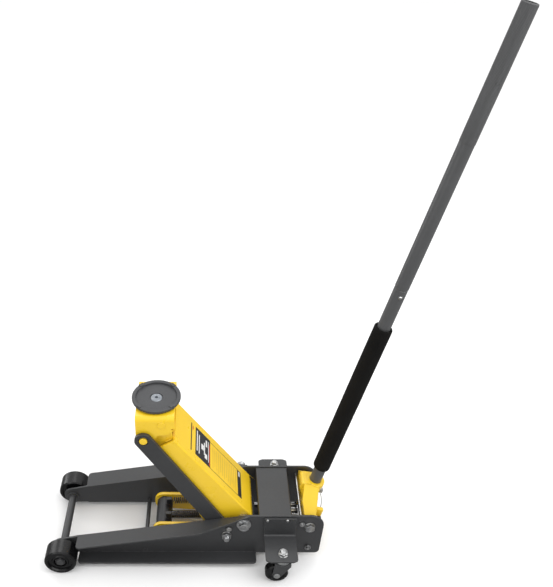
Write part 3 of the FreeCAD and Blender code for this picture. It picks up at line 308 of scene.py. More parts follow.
class Shader:
    """A principled material built node by node."""

    def __init__(self, name):
        self.material = bpy.data.materials.new(name)
        self.material.use_nodes = True
        self.tree = self.material.node_tree
        self.main = self.tree.nodes["Principled BSDF"]
        self.place = self.add("ShaderNodeTexCoord").outputs["Object"]

    def add(self, kind, **settings):
        item = self.tree.nodes.new(kind)
        for key, setting in settings.items():
            setattr(item, key, setting)
        return item

    def wire(self, source, target):
        if isinstance(source, bpy.types.NodeSocket):
            self.tree.links.new(source, target)
        else:
            target.default_value = source

    def math(self, operation, first, second=0.0, third=0.0):
        item = self.add("ShaderNodeMath", operation=operation)
        for socket, source in zip(item.inputs, (first, second, third)):
            self.wire(source, socket)
        return item.outputs[0]

    def noise(self, scale, detail=4.0, rough=0.55):
        item = self.add("ShaderNodeTexNoise")
        self.wire(self.place, item.inputs["Vector"])
        item.inputs["Scale"].default_value = scale
        item.inputs["Detail"].default_value = detail
        item.inputs["Roughness"].default_value = rough
        return item.outputs["Fac"]

    def cells(self, scale):
        item = self.add("ShaderNodeTexVoronoi", feature="F1")
        self.wire(self.place, item.inputs["Vector"])
        item.inputs["Scale"].default_value = scale
        return item.outputs["Distance"]

    def fit(self, source, low, high, out_low=0.0, out_high=1.0):
        item = self.add("ShaderNodeMapRange")
        for socket, value in zip(item.inputs, (source, low, high, out_low, out_high)):
            self.wire(value, socket)
        return item.outputs[0]

    def blend(self, share, first, second):
        item = self.add("ShaderNodeMix", data_type="RGBA")
        self.wire(share, item.inputs["Factor"])
        for name, colour in (("A", first), ("B", second)):
            socket = [one for one in item.inputs if one.name == name and one.type == "RGBA"][0]
            self.wire(colour if isinstance(colour, bpy.types.NodeSocket) else (*colour, 1), socket)
        return [one for one in item.outputs if one.type == "RGBA"][0]

    def bump(self, height, distance, strength=1.0, under=None):
        item = self.add("ShaderNodeBump")
        item.inputs["Strength"].default_value = strength
        item.inputs["Distance"].default_value = distance
        self.wire(height, item.inputs["Height"])
        if under is not None:
            self.wire(under, item.inputs["Normal"])
        return item.outputs["Normal"]

    def edges(self, radius):
        """1 along edges and 0 on open faces."""
        rounded = self.add("ShaderNodeBevel", samples=4)
        rounded.inputs["Radius"].default_value = radius
        plain = self.add("ShaderNodeNewGeometry").outputs["Normal"]
        dot = self.add("ShaderNodeVectorMath", operation="DOT_PRODUCT")
        self.wire(rounded.outputs["Normal"], dot.inputs[0])
        self.wire(plain, dot.inputs[1])
        return self.fit(dot.outputs["Value"], 0.985, 0.90)

    def set(self, **values):
        for key, value in values.items():
            self.wire(value, self.main.inputs[key.replace("_", " ")])
        return self.material


PEEL_SCALE = 420
PEEL_DEPTH = 0.00006
KNURL_TURNS = 30
KNURL_PITCH = 0.016


def shade(colour, factor):
    """A colour made lighter or darker."""
    return tuple(min(1.0, channel * factor) for channel in colour)


def paint(name, colour, rough=0.34, coat=0.25, shine=0.5, edge_wear_and_highlight=0.25,
          worn_lit_edge_colour=(0.35, 0.34, 0.33), spread=0.10, casting=0.0):
    """Sprayed paint: slight mottling, orange peel, lighter edges and faint dust; the lighter edges
    are partly paint worn thin and partly a painted edge highlight.
    """
    look = Shader(name)
    broad = look.noise(5.5, 3)
    fine = look.noise(160, 5, 0.7)
    tone = look.math("ADD", look.math("MULTIPLY", broad, 0.6), look.math("MULTIPLY", fine, 0.4))
    base = look.blend(look.fit(tone, 0.32, 0.68), shade(colour, 1 - spread),
                      shade(colour, 1 + spread))
    scuffs = look.fit(look.noise(38, 8, 0.75), 0.56, 0.70)
    # Lighter edges: partly paint worn thin, partly a painted edge highlight.
    edge = look.math("MULTIPLY", look.edges(0.0011), look.fit(look.noise(90, 5), 0.42, 0.62))
    lit_worn_edge_mask = look.math("MULTIPLY", edge, edge_wear_and_highlight)
    base = look.blend(lit_worn_edge_mask, base, worn_lit_edge_colour)
    specks = look.fit(look.cells(260), 0.10, 0.045)
    specks = look.math("MULTIPLY", specks, look.fit(look.noise(14, 2), 0.52, 0.68, 0, 0.10))
    base = look.blend(specks, base, shade(colour, 1.6))
    dull = look.fit(look.noise(22, 4), 0.3, 0.7, rough - 0.05, rough + 0.07)
    dull = look.math("ADD", dull, look.math("MULTIPLY", scuffs, 0.08))
    normal = look.bump(look.noise(PEEL_SCALE, 2, 0.5), PEEL_DEPTH)
    if casting:
        normal = look.bump(look.noise(330, 6, 0.65), casting, under=normal)
    return look.set(Base_Color=base, Roughness=dull, Specular_IOR_Level=shine, Coat_Weight=coat,
                    Coat_Roughness=0.18, Normal=normal)


def plated(name, bright, dark, rough=(0.22, 0.42), grain=0.00002, tint=(0.62, 0.55, 0.38)):
    """Zinc-plated or ground steel with cloudy tone, faint yellowing and fine scratches."""
    look = Shader(name)
    cloud = look.fit(look.noise(70, 5, 0.6), 0.35, 0.65)
    base = look.blend(cloud, dark, bright)
    base = look.blend(look.fit(look.noise(28, 3), 0.56, 0.74, 0, 0.35), base, tint)
    dull = look.fit(look.noise(180, 5, 0.7), 0.3, 0.7, rough[0], rough[1])
    height = look.noise(1400, 3, 0.6)
    return look.set(Base_Color=base, Roughness=dull, Metallic=1.0, Normal=look.bump(height, grain))


def foam_look():
    """Closed-cell foam with open pores at its skin."""
    look = Shader("foam")
    pores = look.cells(900)
    base = look.blend(look.fit(look.noise(9, 4), 0.3, 0.7), (0.005, 0.0048, 0.0046),
                      (0.010, 0.0090, 0.0078))
    # Painted shade: the pores are darkened.
    base = look.blend(look.fit(pores, 0.32, 0.05, 0, 0.55), base, (0.002, 0.002, 0.002))
    base = look.blend(look.fit(look.noise(60, 6, 0.7), 0.60, 0.75, 0, 0.25), base,
                      (0.028, 0.025, 0.022))
    dull = look.fit(look.noise(40, 4), 0.3, 0.7, 0.62, 0.80)
    normal = look.bump(look.noise(55, 4, 0.6), 0.0006)
    normal = look.bump(look.fit(pores, 0.0, 0.45), 0.00035, under=normal)
    return look.set(Base_Color=base, Roughness=dull, Specular_IOR_Level=0.14,
                    Normal=normal)


def handle_look(name, knurl_from):
    """Grey handle paint, with a diamond knurl above a height along the tube."""
    look = Shader(name)
    colour = (0.076, 0.077, 0.079)
    offset = look.add("ShaderNodeVectorMath", operation="SUBTRACT")
    look.wire(look.place, offset.inputs[0])
    look.wire(tuple(YOKE), offset.inputs[1])

    def along(direction):
        dot = look.add("ShaderNodeVectorMath", operation="DOT_PRODUCT")
        look.wire(offset.outputs[0], dot.inputs[0])
        look.wire(tuple(direction), dot.inputs[1])
        return dot.outputs["Value"]

    height = along(LEAN)
    angle = look.math("ARCTAN2", along(Y_AXIS), along(AHEAD))
    turns = look.math("MULTIPLY", angle, KNURL_TURNS)
    rise = look.math("MULTIPLY", height, KNURL_TURNS / KNURL_PITCH)
    waves = []
    for lean in ("ADD", "SUBTRACT"):
        half = look.math("MULTIPLY", look.math(lean, turns, rise), 0.5)
        waves.append(look.math("ABSOLUTE", look.math("SINE", half)))
    diamond = look.math("MINIMUM", *waves)
    zone = look.fit(height, knurl_from, knurl_from + 0.003)
    knurl = look.math("MULTIPLY", diamond, zone)
    broad = look.fit(look.noise(7, 4), 0.3, 0.7)
    base = look.blend(broad, shade(colour, 0.92), shade(colour, 1.1))
    # Painted shade: the knurl's grooves are darkened.
    groove_painted_shade = look.math("MULTIPLY", look.fit(diamond, 0.30, 0.02), zone)
    base = look.blend(look.math("MULTIPLY", groove_painted_shade, 0.75), base, (0.014, 0.014, 0.015))
    # Painted highlight: the knurl's crowns are lightened.
    crown_painted_highlight = look.math("MULTIPLY", look.fit(diamond, 0.72, 0.96), zone)
    base = look.blend(look.math("MULTIPLY", crown_painted_highlight, 0.45), base, (0.19, 0.195, 0.20))
    marks = look.fit(look.noise(60, 8, 0.8), 0.60, 0.72, 0, 0.5)
    base = look.blend(look.math("MULTIPLY", marks, 0.3), base, (0.10, 0.10, 0.105))
    dull = look.fit(look.noise(30, 4), 0.3, 0.7, 0.30, 0.42)
    normal = look.bump(look.noise(380, 2), 0.00005)
    normal = look.bump(knurl, 0.0005, under=normal)
    return look.set(Base_Color=base, Roughness=dull, Coat_Weight=0.15, Coat_Roughness=0.2,
                    Normal=normal)


def oily_steel():
    """Dark spring wire with patches of old oil."""
    look = Shader("spring_steel")
    base = look.blend(look.fit(look.noise(45, 5), 0.35, 0.65), (0.035, 0.035, 0.037),
                      (0.11, 0.11, 0.113))
    base = look.blend(look.fit(look.noise(120, 6, 0.7), 0.60, 0.72, 0, 0.6), base,
                      (0.03, 0.024, 0.018))
    return look.set(Base_Color=base, Metallic=0.8,
                    Roughness=look.fit(look.noise(90, 4), 0.3, 0.7, 0.28, 0.5),
                    Normal=look.bump(look.noise(900, 3), 0.00002))


def print_look(name, colour):
    """Printed label film, slightly uneven in gloss."""
    look = Shader(name)
    base = look.blend(look.fit(look.noise(30, 4), 0.3, 0.7), shade(colour, 0.93),
                      shade(colour, 1.05))
    return look.set(Base_Color=base,
                    Roughness=look.fit(look.noise(60, 3), 0.3, 0.7, 0.30, 0.41),
                    Normal=look.bump(look.noise(500, 2), 0.00002))


YELLOW = (0.87, 0.575, 0.018)
GREY = (0.039, 0.040, 0.042)
LOOKS = {
    "frame_paint": paint("frame_paint", GREY, rough=0.40, coat=0.10, spread=0.12, edge_wear_and_highlight=0.35),
    "saddle_paint": paint("saddle_paint", (0.050, 0.051, 0.054), rough=0.52, coat=0.05,
                          edge_wear_and_highlight=0.75, spread=0.2, worn_lit_edge_colour=(0.30, 0.30, 0.30), casting=0.00035),
    "arm_paint": paint("arm_paint", YELLOW, rough=0.30, coat=0.22, spread=0.035, edge_wear_and_highlight=0.10,
                       worn_lit_edge_colour=(0.95, 0.75, 0.22)),
    "yoke_paint": paint("yoke_paint", shade(YELLOW, 0.98), rough=0.32, coat=0.35, spread=0.05,
                        edge_wear_and_highlight=0.10, worn_lit_edge_colour=(0.95, 0.75, 0.22), casting=0.00016),
    "roller_paint": paint("roller_paint", (0.0035, 0.0035, 0.004), rough=0.24, coat=0.0, shine=0.4,
                          spread=0.15, edge_wear_and_highlight=0.3, worn_lit_edge_colour=(0.05, 0.05, 0.05)),
    "casting": paint("casting", (0.016, 0.016, 0.018), rough=0.42, coat=0.15, spread=0.25,
                     edge_wear_and_highlight=0.5, casting=0.0003),
    "zinc": plated("zinc", (0.72, 0.72, 0.71), (0.42, 0.43, 0.44)),
    "dull_steel": plated("dull_steel", (0.34, 0.36, 0.39), (0.20, 0.22, 0.24), rough=(0.38, 0.55)),
    # Darkened rod steel for the ram and pump plungers: painted shade for the shadow they sit in.
    "dark_rod_painted_shade": plated("dark_rod_painted_shade", (0.13, 0.13, 0.135), (0.06, 0.06, 0.065), rough=(0.16, 0.3)),
    "polished": plated("polished", (0.78, 0.78, 0.79), (0.66, 0.66, 0.68), rough=(0.07, 0.16),
                       grain=0.000006, tint=(0.7, 0.68, 0.62)),
    "spring_steel": oily_steel(),
    "handle_paint": handle_look("handle_paint", 1.0125),
    "foam": foam_look(),
}
SLOT_OF = {row["node"]: row["material_slot"] for row in frame["record"]["subparts"]}
# The ram and pump plungers take the darkened rod finish, which is painted shade.
OWN_LOOK = {"handle_yoke": "yoke_paint", "saddle_shaft": "arm_paint", "ram": "dark_rod_painted_shade",
            "pump_plungers": "dark_rod_painted_shade", "saddle_screw": "dull_steel"}


def dress_nodes():
    """Give every CAD node its slot's finish."""
    for name, item in frame["nodes"].items():
        look = LOOKS[OWN_LOOK.get(name, SLOT_OF[name])]
        item.data.materials.clear()
        item.data.materials.append(look)


# ---------------------------------------------------------------- plates and castings

SOFTENED = {
    "rail_left": 0.7, "rail_right": 0.7, "crossmember": 0.7, "caster_bracket_left": 0.7,
    "caster_bracket_right": 0.7, "caster_fork_left": 0.6, "caster_fork_right": 0.6,
    "lift_arm": 0.7, "arm_nose": 0.7, "saddle_bracket": 0.7, "level_link_left": 0.8,
    "level_link_right": 0.8, "pull_link_left": 0.9, "pull_link_right": 0.9, "saddle": 0.6,
    "handle_yoke": 1.3, "pump_block": 1.2, "spring_anchor": 0.8, "crosshead": 1.0,
}


def soften_plates():
    """Replace the plates and castings with copies whose edges are softened."""
    for node, width in SOFTENED.items():
        refined(node, width)


# ---------------------------------------------------------------- fasteners

def side_point(spot, side):
    """A middle-plane point moved to a y in millimetres."""
    return Vector((spot.x, side * MM, spot.z))


def pivot_bolt():
    """Main pivot bolt: hexagon head on the left, thread on the right."""
    radius, left, right = 12, 90.4, -105
    bm = bmesh.new()
    rod(bm, side_point(PIVOT, right), Y_AXIS, radius, left - right)
    washer(bm, side_point(PIVOT, 90.1), Y_AXIS, 15, 11, 2.2)
    hex_body(bm, side_point(PIVOT, 92.3), Y_AXIS, 24, 8.3, dish=0.8)
    thread(bm, side_point(PIVOT, right), -Y_AXIS, radius, 12, 2.0)
    item = finish_mesh("pivot_bolt", bm, "chassis", LOOKS["zinc"])
    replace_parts(item, "arm_pivot_bolt")


def yoke_bolt():
    """Handle yoke's cross bolt: hexagon head and washer on the left, thread on the right."""
    shaft = middle("yoke_shaft")
    radius, left, right = 9, 88, -90
    bm = bmesh.new()
    rod(bm, side_point(shaft, right), Y_AXIS, radius, left - right)
    washer(bm, side_point(shaft, 86.2), Y_AXIS, 13.3, 8.5, 2.2)
    hex_body(bm, side_point(shaft, 88.4), Y_AXIS, 22, 8.4, dish=0.7)
    thread(bm, side_point(shaft, right), -Y_AXIS, radius, 8, 1.75)
    item = finish_mesh("yoke_bolt", bm, "chassis", LOOKS["zinc"])
    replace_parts(item, "yoke_shaft")


def cross_nuts():
    """Nuts and washers on the right ends of both cross bolts."""
    bm = bmesh.new()
    shaft = middle("yoke_shaft")
    hex_body(bm, side_point(PIVOT, -90.2), -Y_AXIS, 30, 15, bore=12)
    washer(bm, side_point(shaft, -86.2), -Y_AXIS, 13.3, 9, 2)
    hex_body(bm, side_point(shaft, -88.2), -Y_AXIS, 22, 7.4, bore=9)
    item = finish_mesh("cross_nuts", bm, "chassis", LOOKS["zinc"])
    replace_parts(item, "pivot_nuts")


def link_fasteners():
    """The levelling links' lower studs, with washers and nuts outside the rails."""
    stud = middle("link_studs")
    radius = 8
    studs = bmesh.new()
    nuts = bmesh.new()
    for sign in (1, -1):
        out = Y_AXIS * sign
        rod(studs, side_point(stud, sign * 71.7), out, radius, 15, 40)
        thread(studs, side_point(stud, sign * 86.5), out, radius, 16.4, 1.5)
        washer(nuts, side_point(stud, sign * 86.1), out, 12.2, radius, 1.6)
        hex_body(nuts, side_point(stud, sign * 87.7), out, 22, 8.2, bore=radius)
    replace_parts(finish_mesh("studs", studs, "chassis", LOOKS["zinc"]), "link_studs")
    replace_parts(finish_mesh("stud_nuts", nuts, "chassis", LOOKS["zinc"]), "link_nuts")


def tie_fasteners():
    """Hexagon nuts on the rear tie rods, with the rods' threaded ends."""
    rear, lower = middle("rear_tie_rod"), middle("lower_tie_rod")
    bm = bmesh.new()
    ends = bmesh.new()
    for sign in (1, -1):
        out = Y_AXIS * sign
        hex_body(bm, side_point(rear, sign * (RAIL_FACE + 0.1)), out, 13, 5, bore=4)
        hex_body(bm, side_point(lower, sign * (RAIL_FACE + 0.1)), out, 15, 5, bore=5)
        thread(ends, side_point(rear, sign * 90), out, 4, 1.6, 0.8)
        thread(ends, side_point(lower, sign * 90), out, 5, 2.4, 0.9)
    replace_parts(finish_mesh("tie_nuts", bm, "chassis", LOOKS["zinc"]), "tie_rod_nuts")
    finish_mesh("tie_ends", ends, "chassis", LOOKS["zinc"])


def stop_bolts():
    """The two small hexagon heads beside the levelling links' studs."""
    spot = middle("rail_stop_bolts")
    bm = bmesh.new()
    for sign in (1, -1):
        hex_body(bm, side_point(spot, sign * RAIL_FACE), Y_AXIS * sign, 13, 4.9, dish=0.5)
    item = finish_mesh("stop_bolt_heads", bm, "chassis", LOOKS["zinc"])
    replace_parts(item, "rail_stop_bolts")


def caster_fasteners():
    """King-pin nuts on washers."""
    low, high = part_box("king_pin_nuts")
    washer_radius = 12.5 * MM
    centre = Vector(((low.x + high.x) / 2, high.y - washer_radius, low.z))
    nuts = bmesh.new()
    for sign in (1, -1):
        base = Vector((centre.x, centre.y * sign, centre.z))
        washer(nuts, base, Z_AXIS, 11.8, 8, 1.4)
        hex_body(nuts, base + Z_AXIS * 1.4 * MM, Z_AXIS, 20, 7.4, bore=8)
    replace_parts(finish_mesh("king_nuts", nuts, "chassis", LOOKS["zinc"]), "king_pin_nuts")


def cap_screws():
    """Pan-head screws through the brackets' tabs."""
    low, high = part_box("crossmember_screws")
    head_radius = 4 * MM
    bm = bmesh.new()
    for across in (low.x + head_radius, high.x - head_radius):
        for sign in (1, -1):
            spot = Vector((across, sign * 91 * MM, (low.z + high.z) / 2))
            lathe(bm, spot, Y_AXIS * sign, [(0, 0), (4, 0), (4, 0.8), (3.4, 2.0), (2.2, 2.7),
                                            (1.7, 2.8), (1.5, 1.6), (0, 1.6)], 36)
    item = finish_mesh("cap_screws", bm, "chassis", LOOKS["zinc"])
    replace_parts(item, "crossmember_screws")


def axle_ends():
    """Front axle with threaded ends, inner washers and dark lock nuts."""
    axle = middle("front_axle")
    nuts = bmesh.new()
    for sign in (1, -1):
        out = Y_AXIS * sign
        hex_body(nuts, side_point(axle, sign * 128.5), out, 24, 6.6, bore=10)
    item = finish_mesh("axle_lock_nuts", nuts, "chassis", LOOKS["casting"])
    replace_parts(item, "axle_nuts")
    half = 128
    bar = bmesh.new()
    rod(bar, side_point(axle, -half), Y_AXIS, 10, 2 * half)
    for sign in (1, -1):
        out = Y_AXIS * sign
        thread(bar, side_point(axle, sign * 127.5), out, 9.9, 8.4, 1.5)
        washer(bar, side_point(axle, sign * 77.2), out, 16, 10, 3.6)
    item = finish_mesh("axle_rod", bar, "chassis", LOOKS["frame_paint"])
    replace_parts(item, "front_axle")


def clamp_bolt():
    """Bolt behind the handle's socket, with a lock nut."""
    bm = bmesh.new()
    base = on_handle(-15.8, 0, 44)
    out = -AHEAD
    radius, flats = 3.6, 12.8
    rod(bm, base, out, radius, 9, 24)
    hex_body(bm, base + out * 6.0 * MM, out, flats, 3.4, bore=radius)
    hex_body(bm, base + out * 9.4 * MM, out, flats, 5, dish=0.5)
    item = finish_mesh("clamp_bolt", bm, "yoke", LOOKS["zinc"])
    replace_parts(item, "lock_bolt")


# ---------------------------------------------------------------- springs

def coil_points(start, end, radius, turns, steps=20):
    """A helix between two points with a hook bent in at each end."""
    run = end - start
    length = run.length
    along = run.normalized()
    side = Y_AXIS
    up = along.cross(side)
    hook = 7 * MM
    points = []
    for index in range(9):
        angle = math.pi * (0.15 + 1.1 * index / 8)
        points.append(start + along * (hook * 0.55 - math.sin(angle) * hook * 0.55)
                      + up * (math.cos(angle) * hook * 0.55))
    count = turns * steps
    for index in range(count + 1):
        angle = 2 * math.pi * index / steps
        share = index / count
        reach = hook + share * (length - 2 * hook)
        tuck = min(1, min(share, 1 - share) * count / steps * 1.6 + 0.25)
        points.append(start + along * reach
                      + (side * math.sin(angle) - up * math.cos(angle)) * radius * tuck)
    for index in range(9):
        angle = math.pi * (-0.25 + 1.1 * index / 8)
        points.append(end - along * (hook * 0.55 - math.sin(angle) * hook * 0.55)
                      - up * (math.cos(angle) * hook * 0.55))
    return points


def return_springs():
    """Stretched coils from the anchor plate to the crosshead's lugs."""
    hook_reach = 4 * MM
    coil_radius = 7.7 * MM
    wire_radius = 1.1 * MM
    for side in ("left", "right"):
        node = f"return_spring_{side}"
        low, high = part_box(node)
        centre = (low + high) / 2
        start = Vector((low.x - hook_reach, centre.y, centre.z))
        end = Vector((high.x + hook_reach, centre.y, centre.z))
        bm = bmesh.new()
        sweep(bm, coil_points(start, end, coil_radius, turns=40), wire_radius, 8)
        item = finish_mesh(f"spring_{side}", bm, None, LOOKS["spring_steel"], 80)
        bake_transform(item)
        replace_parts(item, node)


# ---------------------------------------------------------------- handle and saddle

def foam_sleeve():
    """Foam sleeve with a slightly uneven surface and rounded ends."""
    rows = 150
    radius, low, high = 21.4, 132, 566.5
    profile = [(15.05, 130), (17, 127.4), (19.5, 127.2), (21, 129), (radius, low)]
    for row in range(1, rows):
        profile.append((radius, low + (high - low) * row / rows))
    profile += [(radius, high), (21, 569), (19.5, 570.8), (17, 570.6), (15.05, 568)]

    def shape(angle, out, up):
        if out < 21:
            return out, up
        spot = Vector((math.cos(angle) * 1.3, math.sin(angle) * 1.3, up * 0.02))
        swell = noise.noise(spot) * 0.28 + noise.noise(spot * 5) * 0.10
        return out - 0.32 + swell, up

    bm = bmesh.new()
    lathe(bm, YOKE, LEAN, profile, 72, closed=True, shape=shape)
    item = finish_mesh("foam_grip", bm, "handle", LOOKS["foam"], 50)
    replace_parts(item, "handle_foam")


def grip_plug():
    """A small domed plug in the side of the grip."""
    bm = bmesh.new()
    spot = on_handle(0, 15.75, 1133)
    lathe(bm, spot, Y_AXIS, [(0, -1.2), (2.6, -1.0), (3.0, 0.1), (3.4, 0.28), (3.9, 0.1),
                             (4.1, -1)], 28)
    finish_mesh("grip_plug", bm, "handle", LOOKS["casting"])


def weld_seams():
    """Weld beads on the frame and the arm."""
    grey = bmesh.new()
    for sign in (1, -1):
        for across in (-52, -132):
            weld(grey, Vector((across, sign * 86.6, 112)) * MM,
                 Vector((across, sign * 86.6, 146)) * MM, 2.2)
        weld(grey, Vector((-122, sign * 79.5, 149.3)) * MM, Vector((-37, sign * 79.5, 149.3)) * MM,
             1.8)
        weld(grey, Vector((-107, sign * 79.4, 36)) * MM, Vector((-107, sign * 79.4, 86)) * MM, 2.2)
    finish_mesh("frame_welds", grey, "chassis", LOOKS["frame_paint"], 60)
    gold = bmesh.new()
    for sign in (1, -1):
        weld(gold, on_arm(262, sign * 61, -20), on_arm(262, sign * 61, -4), 2.6)
        weld(gold, on_arm(318.5, sign * 59.4, -26), on_arm(318.5, sign * 59.4, -9), 2.4)
    finish_mesh("arm_welds", gold, "arm", LOOKS["arm_paint"], 60)


def yoke_details():
    """Rear lug with a dark pin, and a steel spring clip up to the lock nut."""
    lug = bmesh.new()
    handle_block(lug, (-30, 46, 8), (-12, 56, 32), 2.0)
    finish_mesh("yoke_lug", lug, "yoke", LOOKS["yoke_paint"])
    pin = bmesh.new()
    lathe(pin, on_handle(-27, 41, 5), Y_AXIS, [(0, 0), (4.4, 0.5), (4.6, 1), (4.6, 20),
                                               (4.4, 20.5), (0, 21)], 32)
    finish_mesh("yoke_lug_pin", pin, "yoke", LOOKS["casting"])
    clip = bmesh.new()
    points = []
    for index in range(17):
        share = index / 16
        bow = math.sin(math.pi * share)
        points.append(on_handle(-22 - 5 * bow, 4 + 46 * share, 44 - 15 * share))
    sweep(clip, points, 0.9 * MM, 10)
    finish_mesh("yoke_clip", clip, "yoke", LOOKS["dull_steel"])


def pump_details():
    """Dark plugs and a filler cap on the pump casting, and bands on the cylinder."""
    plugs = bmesh.new()
    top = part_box("pump_block")[1].z
    # The plugs take the dark casting finish as painted shade over this spot between the
    # crossmember and the yoke.
    for across, side, flats in ((-98, 26, 14), (-98, -26, 14), (-66, 30, 17), (-66, -30, 12)):
        hex_body(plugs, Vector((across * MM, side * MM, top)), Z_AXIS, flats, 5.5, dish=0.8)
    finish_mesh("pump_plugs", plugs, "chassis", LOOKS["casting"])
    cap = bmesh.new()
    lathe(cap, Vector((-62 * MM, 0, top)), Z_AXIS, [(0, 0), (9, 0), (9, 2), (8, 3), (6, 3.4),
                                                    (5.4, 6), (4.6, 6.6), (0, 6.6)], 40)
    finish_mesh("filler_cap", cap, "chassis", LOOKS["casting"])
    bands = bmesh.new()
    axis = middle("hydraulic_cylinder")
    for across in (-44, -12, 40, 76):
        spot = Vector((across * MM, 0, axis.z))
        lathe(bands, spot, X_AXIS, [(24.9, -2), (25.6, -1.4), (25.9, 0), (25.6, 1.4), (24.9, 2)],
              64)
    finish_mesh("cylinder_bands", bands, "chassis", LOOKS["casting"])


# ---------------------------------------------------------------- label on the arm

ARM_TOP_HEIGHT = 23.3
ARM_TOP_TAPER = 0.0737


def arm_top(along, side, lift):
    """A point on the arm's tapering top plate, lifted off it in millimetres."""
    return on_arm(along, side, ARM_TOP_HEIGHT - ARM_TOP_TAPER * (along - 2) + lift)


def label_patch(bm, along_low, along_high, side_low, side_high, lift):
    """A thin printed patch that lies on the arm's top plate."""
    rows = 6
    for index in range(rows):
        first = along_low + (along_high - along_low) * index / rows
        second = along_low + (along_high - along_low) * (index + 1) / rows
        corners = [(first, side_low), (second, side_low), (second, side_high), (first, side_high)]
        bm.faces.new([bm.verts.new(arm_top(along, side, lift)) for along, side in corners])
    bmesh.ops.remove_doubles(bm, verts=bm.verts, dist=1e-6)


def arm_label():
    """Plain printed label: a dark panel, a bordered yellow panel and a dark bar, no lettering."""
    dark = print_look("label_dark", (0.022, 0.022, 0.024))
    pale = print_look("label_pale", (0.72, 0.72, 0.70))
    red = print_look("label_red", (0.60, 0.05, 0.02))
    gold = print_look("label_gold", (0.86, 0.56, 0.02))
    line = print_look("label_line", (0.55, 0.36, 0.03))
    panels = [
        ("label_dark_panels", dark, 0.14, [
            (253, 256.8, -47, 47), (177, 238, -47, 47), (42, 58, -42, 47),
            (58, 177, 45.4, 47.2), (58, 177, -43.2, -41.4),
        ]),
        ("label_gold_panel", gold, 0.10, [(58, 177, -42, 46)]),
        ("label_pale_marks", pale, 0.22, [
            (229, 233, -38, 30), (221, 224.6, -30, 34), (204, 214, -8, 10), (190, 200, 14, 30),
            (190, 196, -34, -12), (183, 185.4, -36, 34), (47, 53, -38, -22), (199, 203, -20, 22),
        ]),
        ("label_red_marks", red, 0.22, [(178.5, 181.5, -30, 42), (247, 250.5, -40, -28)]),
        ("label_fine_lines", line, 0.18, [
            (66 + row * 8.2, 67.6 + row * 8.2, -34, 38 - 6 * (row % 3)) for row in range(13)
        ]),
    ]
    for name, look, lift, patches in panels:
        bm = bmesh.new()
        for along_low, along_high, side_low, side_high in patches:
            label_patch(bm, along_low, along_high, side_low, side_high, lift)
        finish_mesh(name, bm, "arm", look)


# ---------------------------------------------------------------- camera, floor and light

CAMERA_SPOT = (0.090, 1.3224, 1.6142)
CAMERA_ANGLES = (32.64, -0.2, 0.19)
CAMERA_LENS = 44.91
CAMERA_SHIFT = (0.1124, -0.0043)
FLOOR_REACH = 30
BACKDROP = [(14500, 0), (14500, 16000)]
SKY_LEVELS = (0.0, 0.75)
SKY_STRENGTHS = (0.30, 1.22)


def camera():
    """Camera at the left of the jack, above it, with the frame's centre shifted."""
    pitch, yaw, roll = (math.radians(angle) for angle in CAMERA_ANGLES)
    swing = Matrix.Rotation(yaw, 3, "Z")
    right = swing @ Vector((-1, 0, 0))
    ahead = swing @ Vector((0, -math.cos(pitch), -math.sin(pitch)))
    up = swing @ Vector((0, -math.sin(pitch), math.cos(pitch)))
    right, up = (right * math.cos(roll) + up * math.sin(roll),
                 up * math.cos(roll) - right * math.sin(roll))
    data = bpy.data.cameras.new("camera")
    data.sensor_width = 36
    data.lens = CAMERA_LENS
    data.shift_x, data.shift_y = CAMERA_SHIFT
    data.clip_end = 60
    item = bpy.data.objects.new("camera", data)
    bpy.context.scene.collection.objects.link(item)
    turn = Matrix((right, up, -ahead)).transposed().to_4x4()
    item.matrix_world = Matrix.Translation(CAMERA_SPOT) @ turn
    bpy.context.scene.camera = item


def area_light(name, place, target, size, height, power):
    """A soft rectangular light aimed at a point, in metres and watts."""
    data = bpy.data.lights.new(name, "AREA")
    data.shape = "RECTANGLE"
    data.size = size
    data.size_y = height
    data.energy = power
    item = bpy.data.objects.new(name, data)
    bpy.context.scene.collection.objects.link(item)
    item.location = place
    item.rotation_mode = "QUATERNION"
    item.rotation_quaternion = (Vector(target) - Vector(place)).to_track_quat("-Z", "Y")


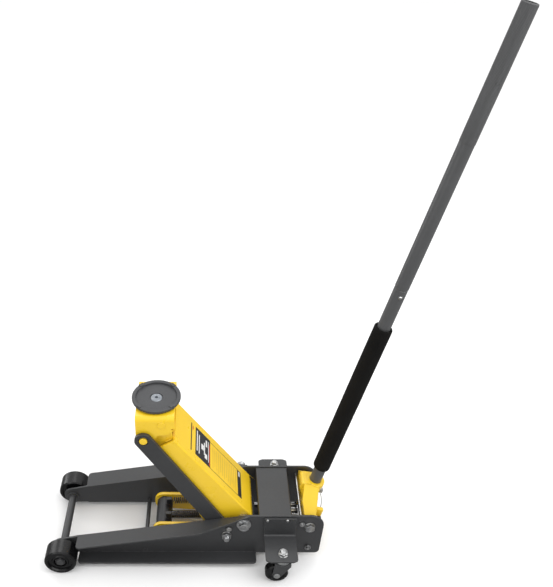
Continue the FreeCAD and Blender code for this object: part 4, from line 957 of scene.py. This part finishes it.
def studio():
    """Pale floor and backdrop, soft light from above and fills at the sides and back."""
    floor = bmesh.new()
    bmesh.ops.create_grid(floor, x_segments=8, y_segments=8, size=FLOOR_REACH)
    look = Shader("floor")
    base = look.blend(look.fit(look.noise(0.8, 3), 0.3, 0.7), (0.95, 0.95, 0.95),
                      (0.97, 0.97, 0.97))
    look.set(Base_Color=base, Roughness=0.9, Specular_IOR_Level=0.1)
    item = finish_mesh("floor", floor, None, look.material)
    item.visible_glossy = False
    wall = bmesh.new()
    lathe(wall, Vector((0, 0, -0.01)), Z_AXIS, BACKDROP, 96)
    item = finish_mesh("backdrop", wall, None, look.material)
    item.visible_glossy = False
    item.visible_diffuse = False
    item.visible_shadow = False
    world = bpy.data.worlds.new("studio")
    bpy.context.scene.world = world
    world.use_nodes = True
    tree = world.node_tree
    place = tree.nodes.new("ShaderNodeTexCoord")
    split = tree.nodes.new("ShaderNodeSeparateXYZ")
    tree.links.new(place.outputs["Generated"], split.inputs[0])
    rise = tree.nodes.new("ShaderNodeMapRange")
    rise.interpolation_type = "SMOOTHSTEP"
    for socket, value in zip(list(rise.inputs)[1:5], SKY_LEVELS + SKY_STRENGTHS):
        socket.default_value = value
    tree.links.new(split.outputs["Z"], rise.inputs[0])
    tree.links.new(rise.outputs[0], tree.nodes["Background"].inputs["Strength"])
    tree.nodes["Background"].inputs["Color"].default_value = (1, 1, 1, 1)
    bpy.context.scene.view_settings.view_transform = "Standard"
    area_light("key", (-1.0, 0.3, 2.5), (0.05, 0, 0.2), 1.8, 1.4, 16)
    area_light("left_strip", (1.6, 1.5, 1.3), (0.1, 0, 0.3), 0.35, 1.8, 4)
    area_light("right_strip", (-1.9, 0.4, 1.3), (-0.1, 0, 0.3), 0.5, 1.6, 8)
    area_light("left_back_strip", (1.7, -1.1, 0.7), (0.3, 0, 0.1), 0.3, 1.4, 4)
    area_light("back_softbox", (0.68, -2.0, 2.75), (0.3, 0, 0.08), 1.1, 0.5, 6)


# ---------------------------------------------------------------- build

camera()
dress_nodes()
soften_plates()
pivot_bolt()
yoke_bolt()
cross_nuts()
link_fasteners()
tie_fasteners()
stop_bolts()
caster_fasteners()
cap_screws()
axle_ends()
clamp_bolt()
return_springs()
foam_sleeve()
grip_plug()
weld_seams()
yoke_details()
pump_details()
arm_label()
studio()
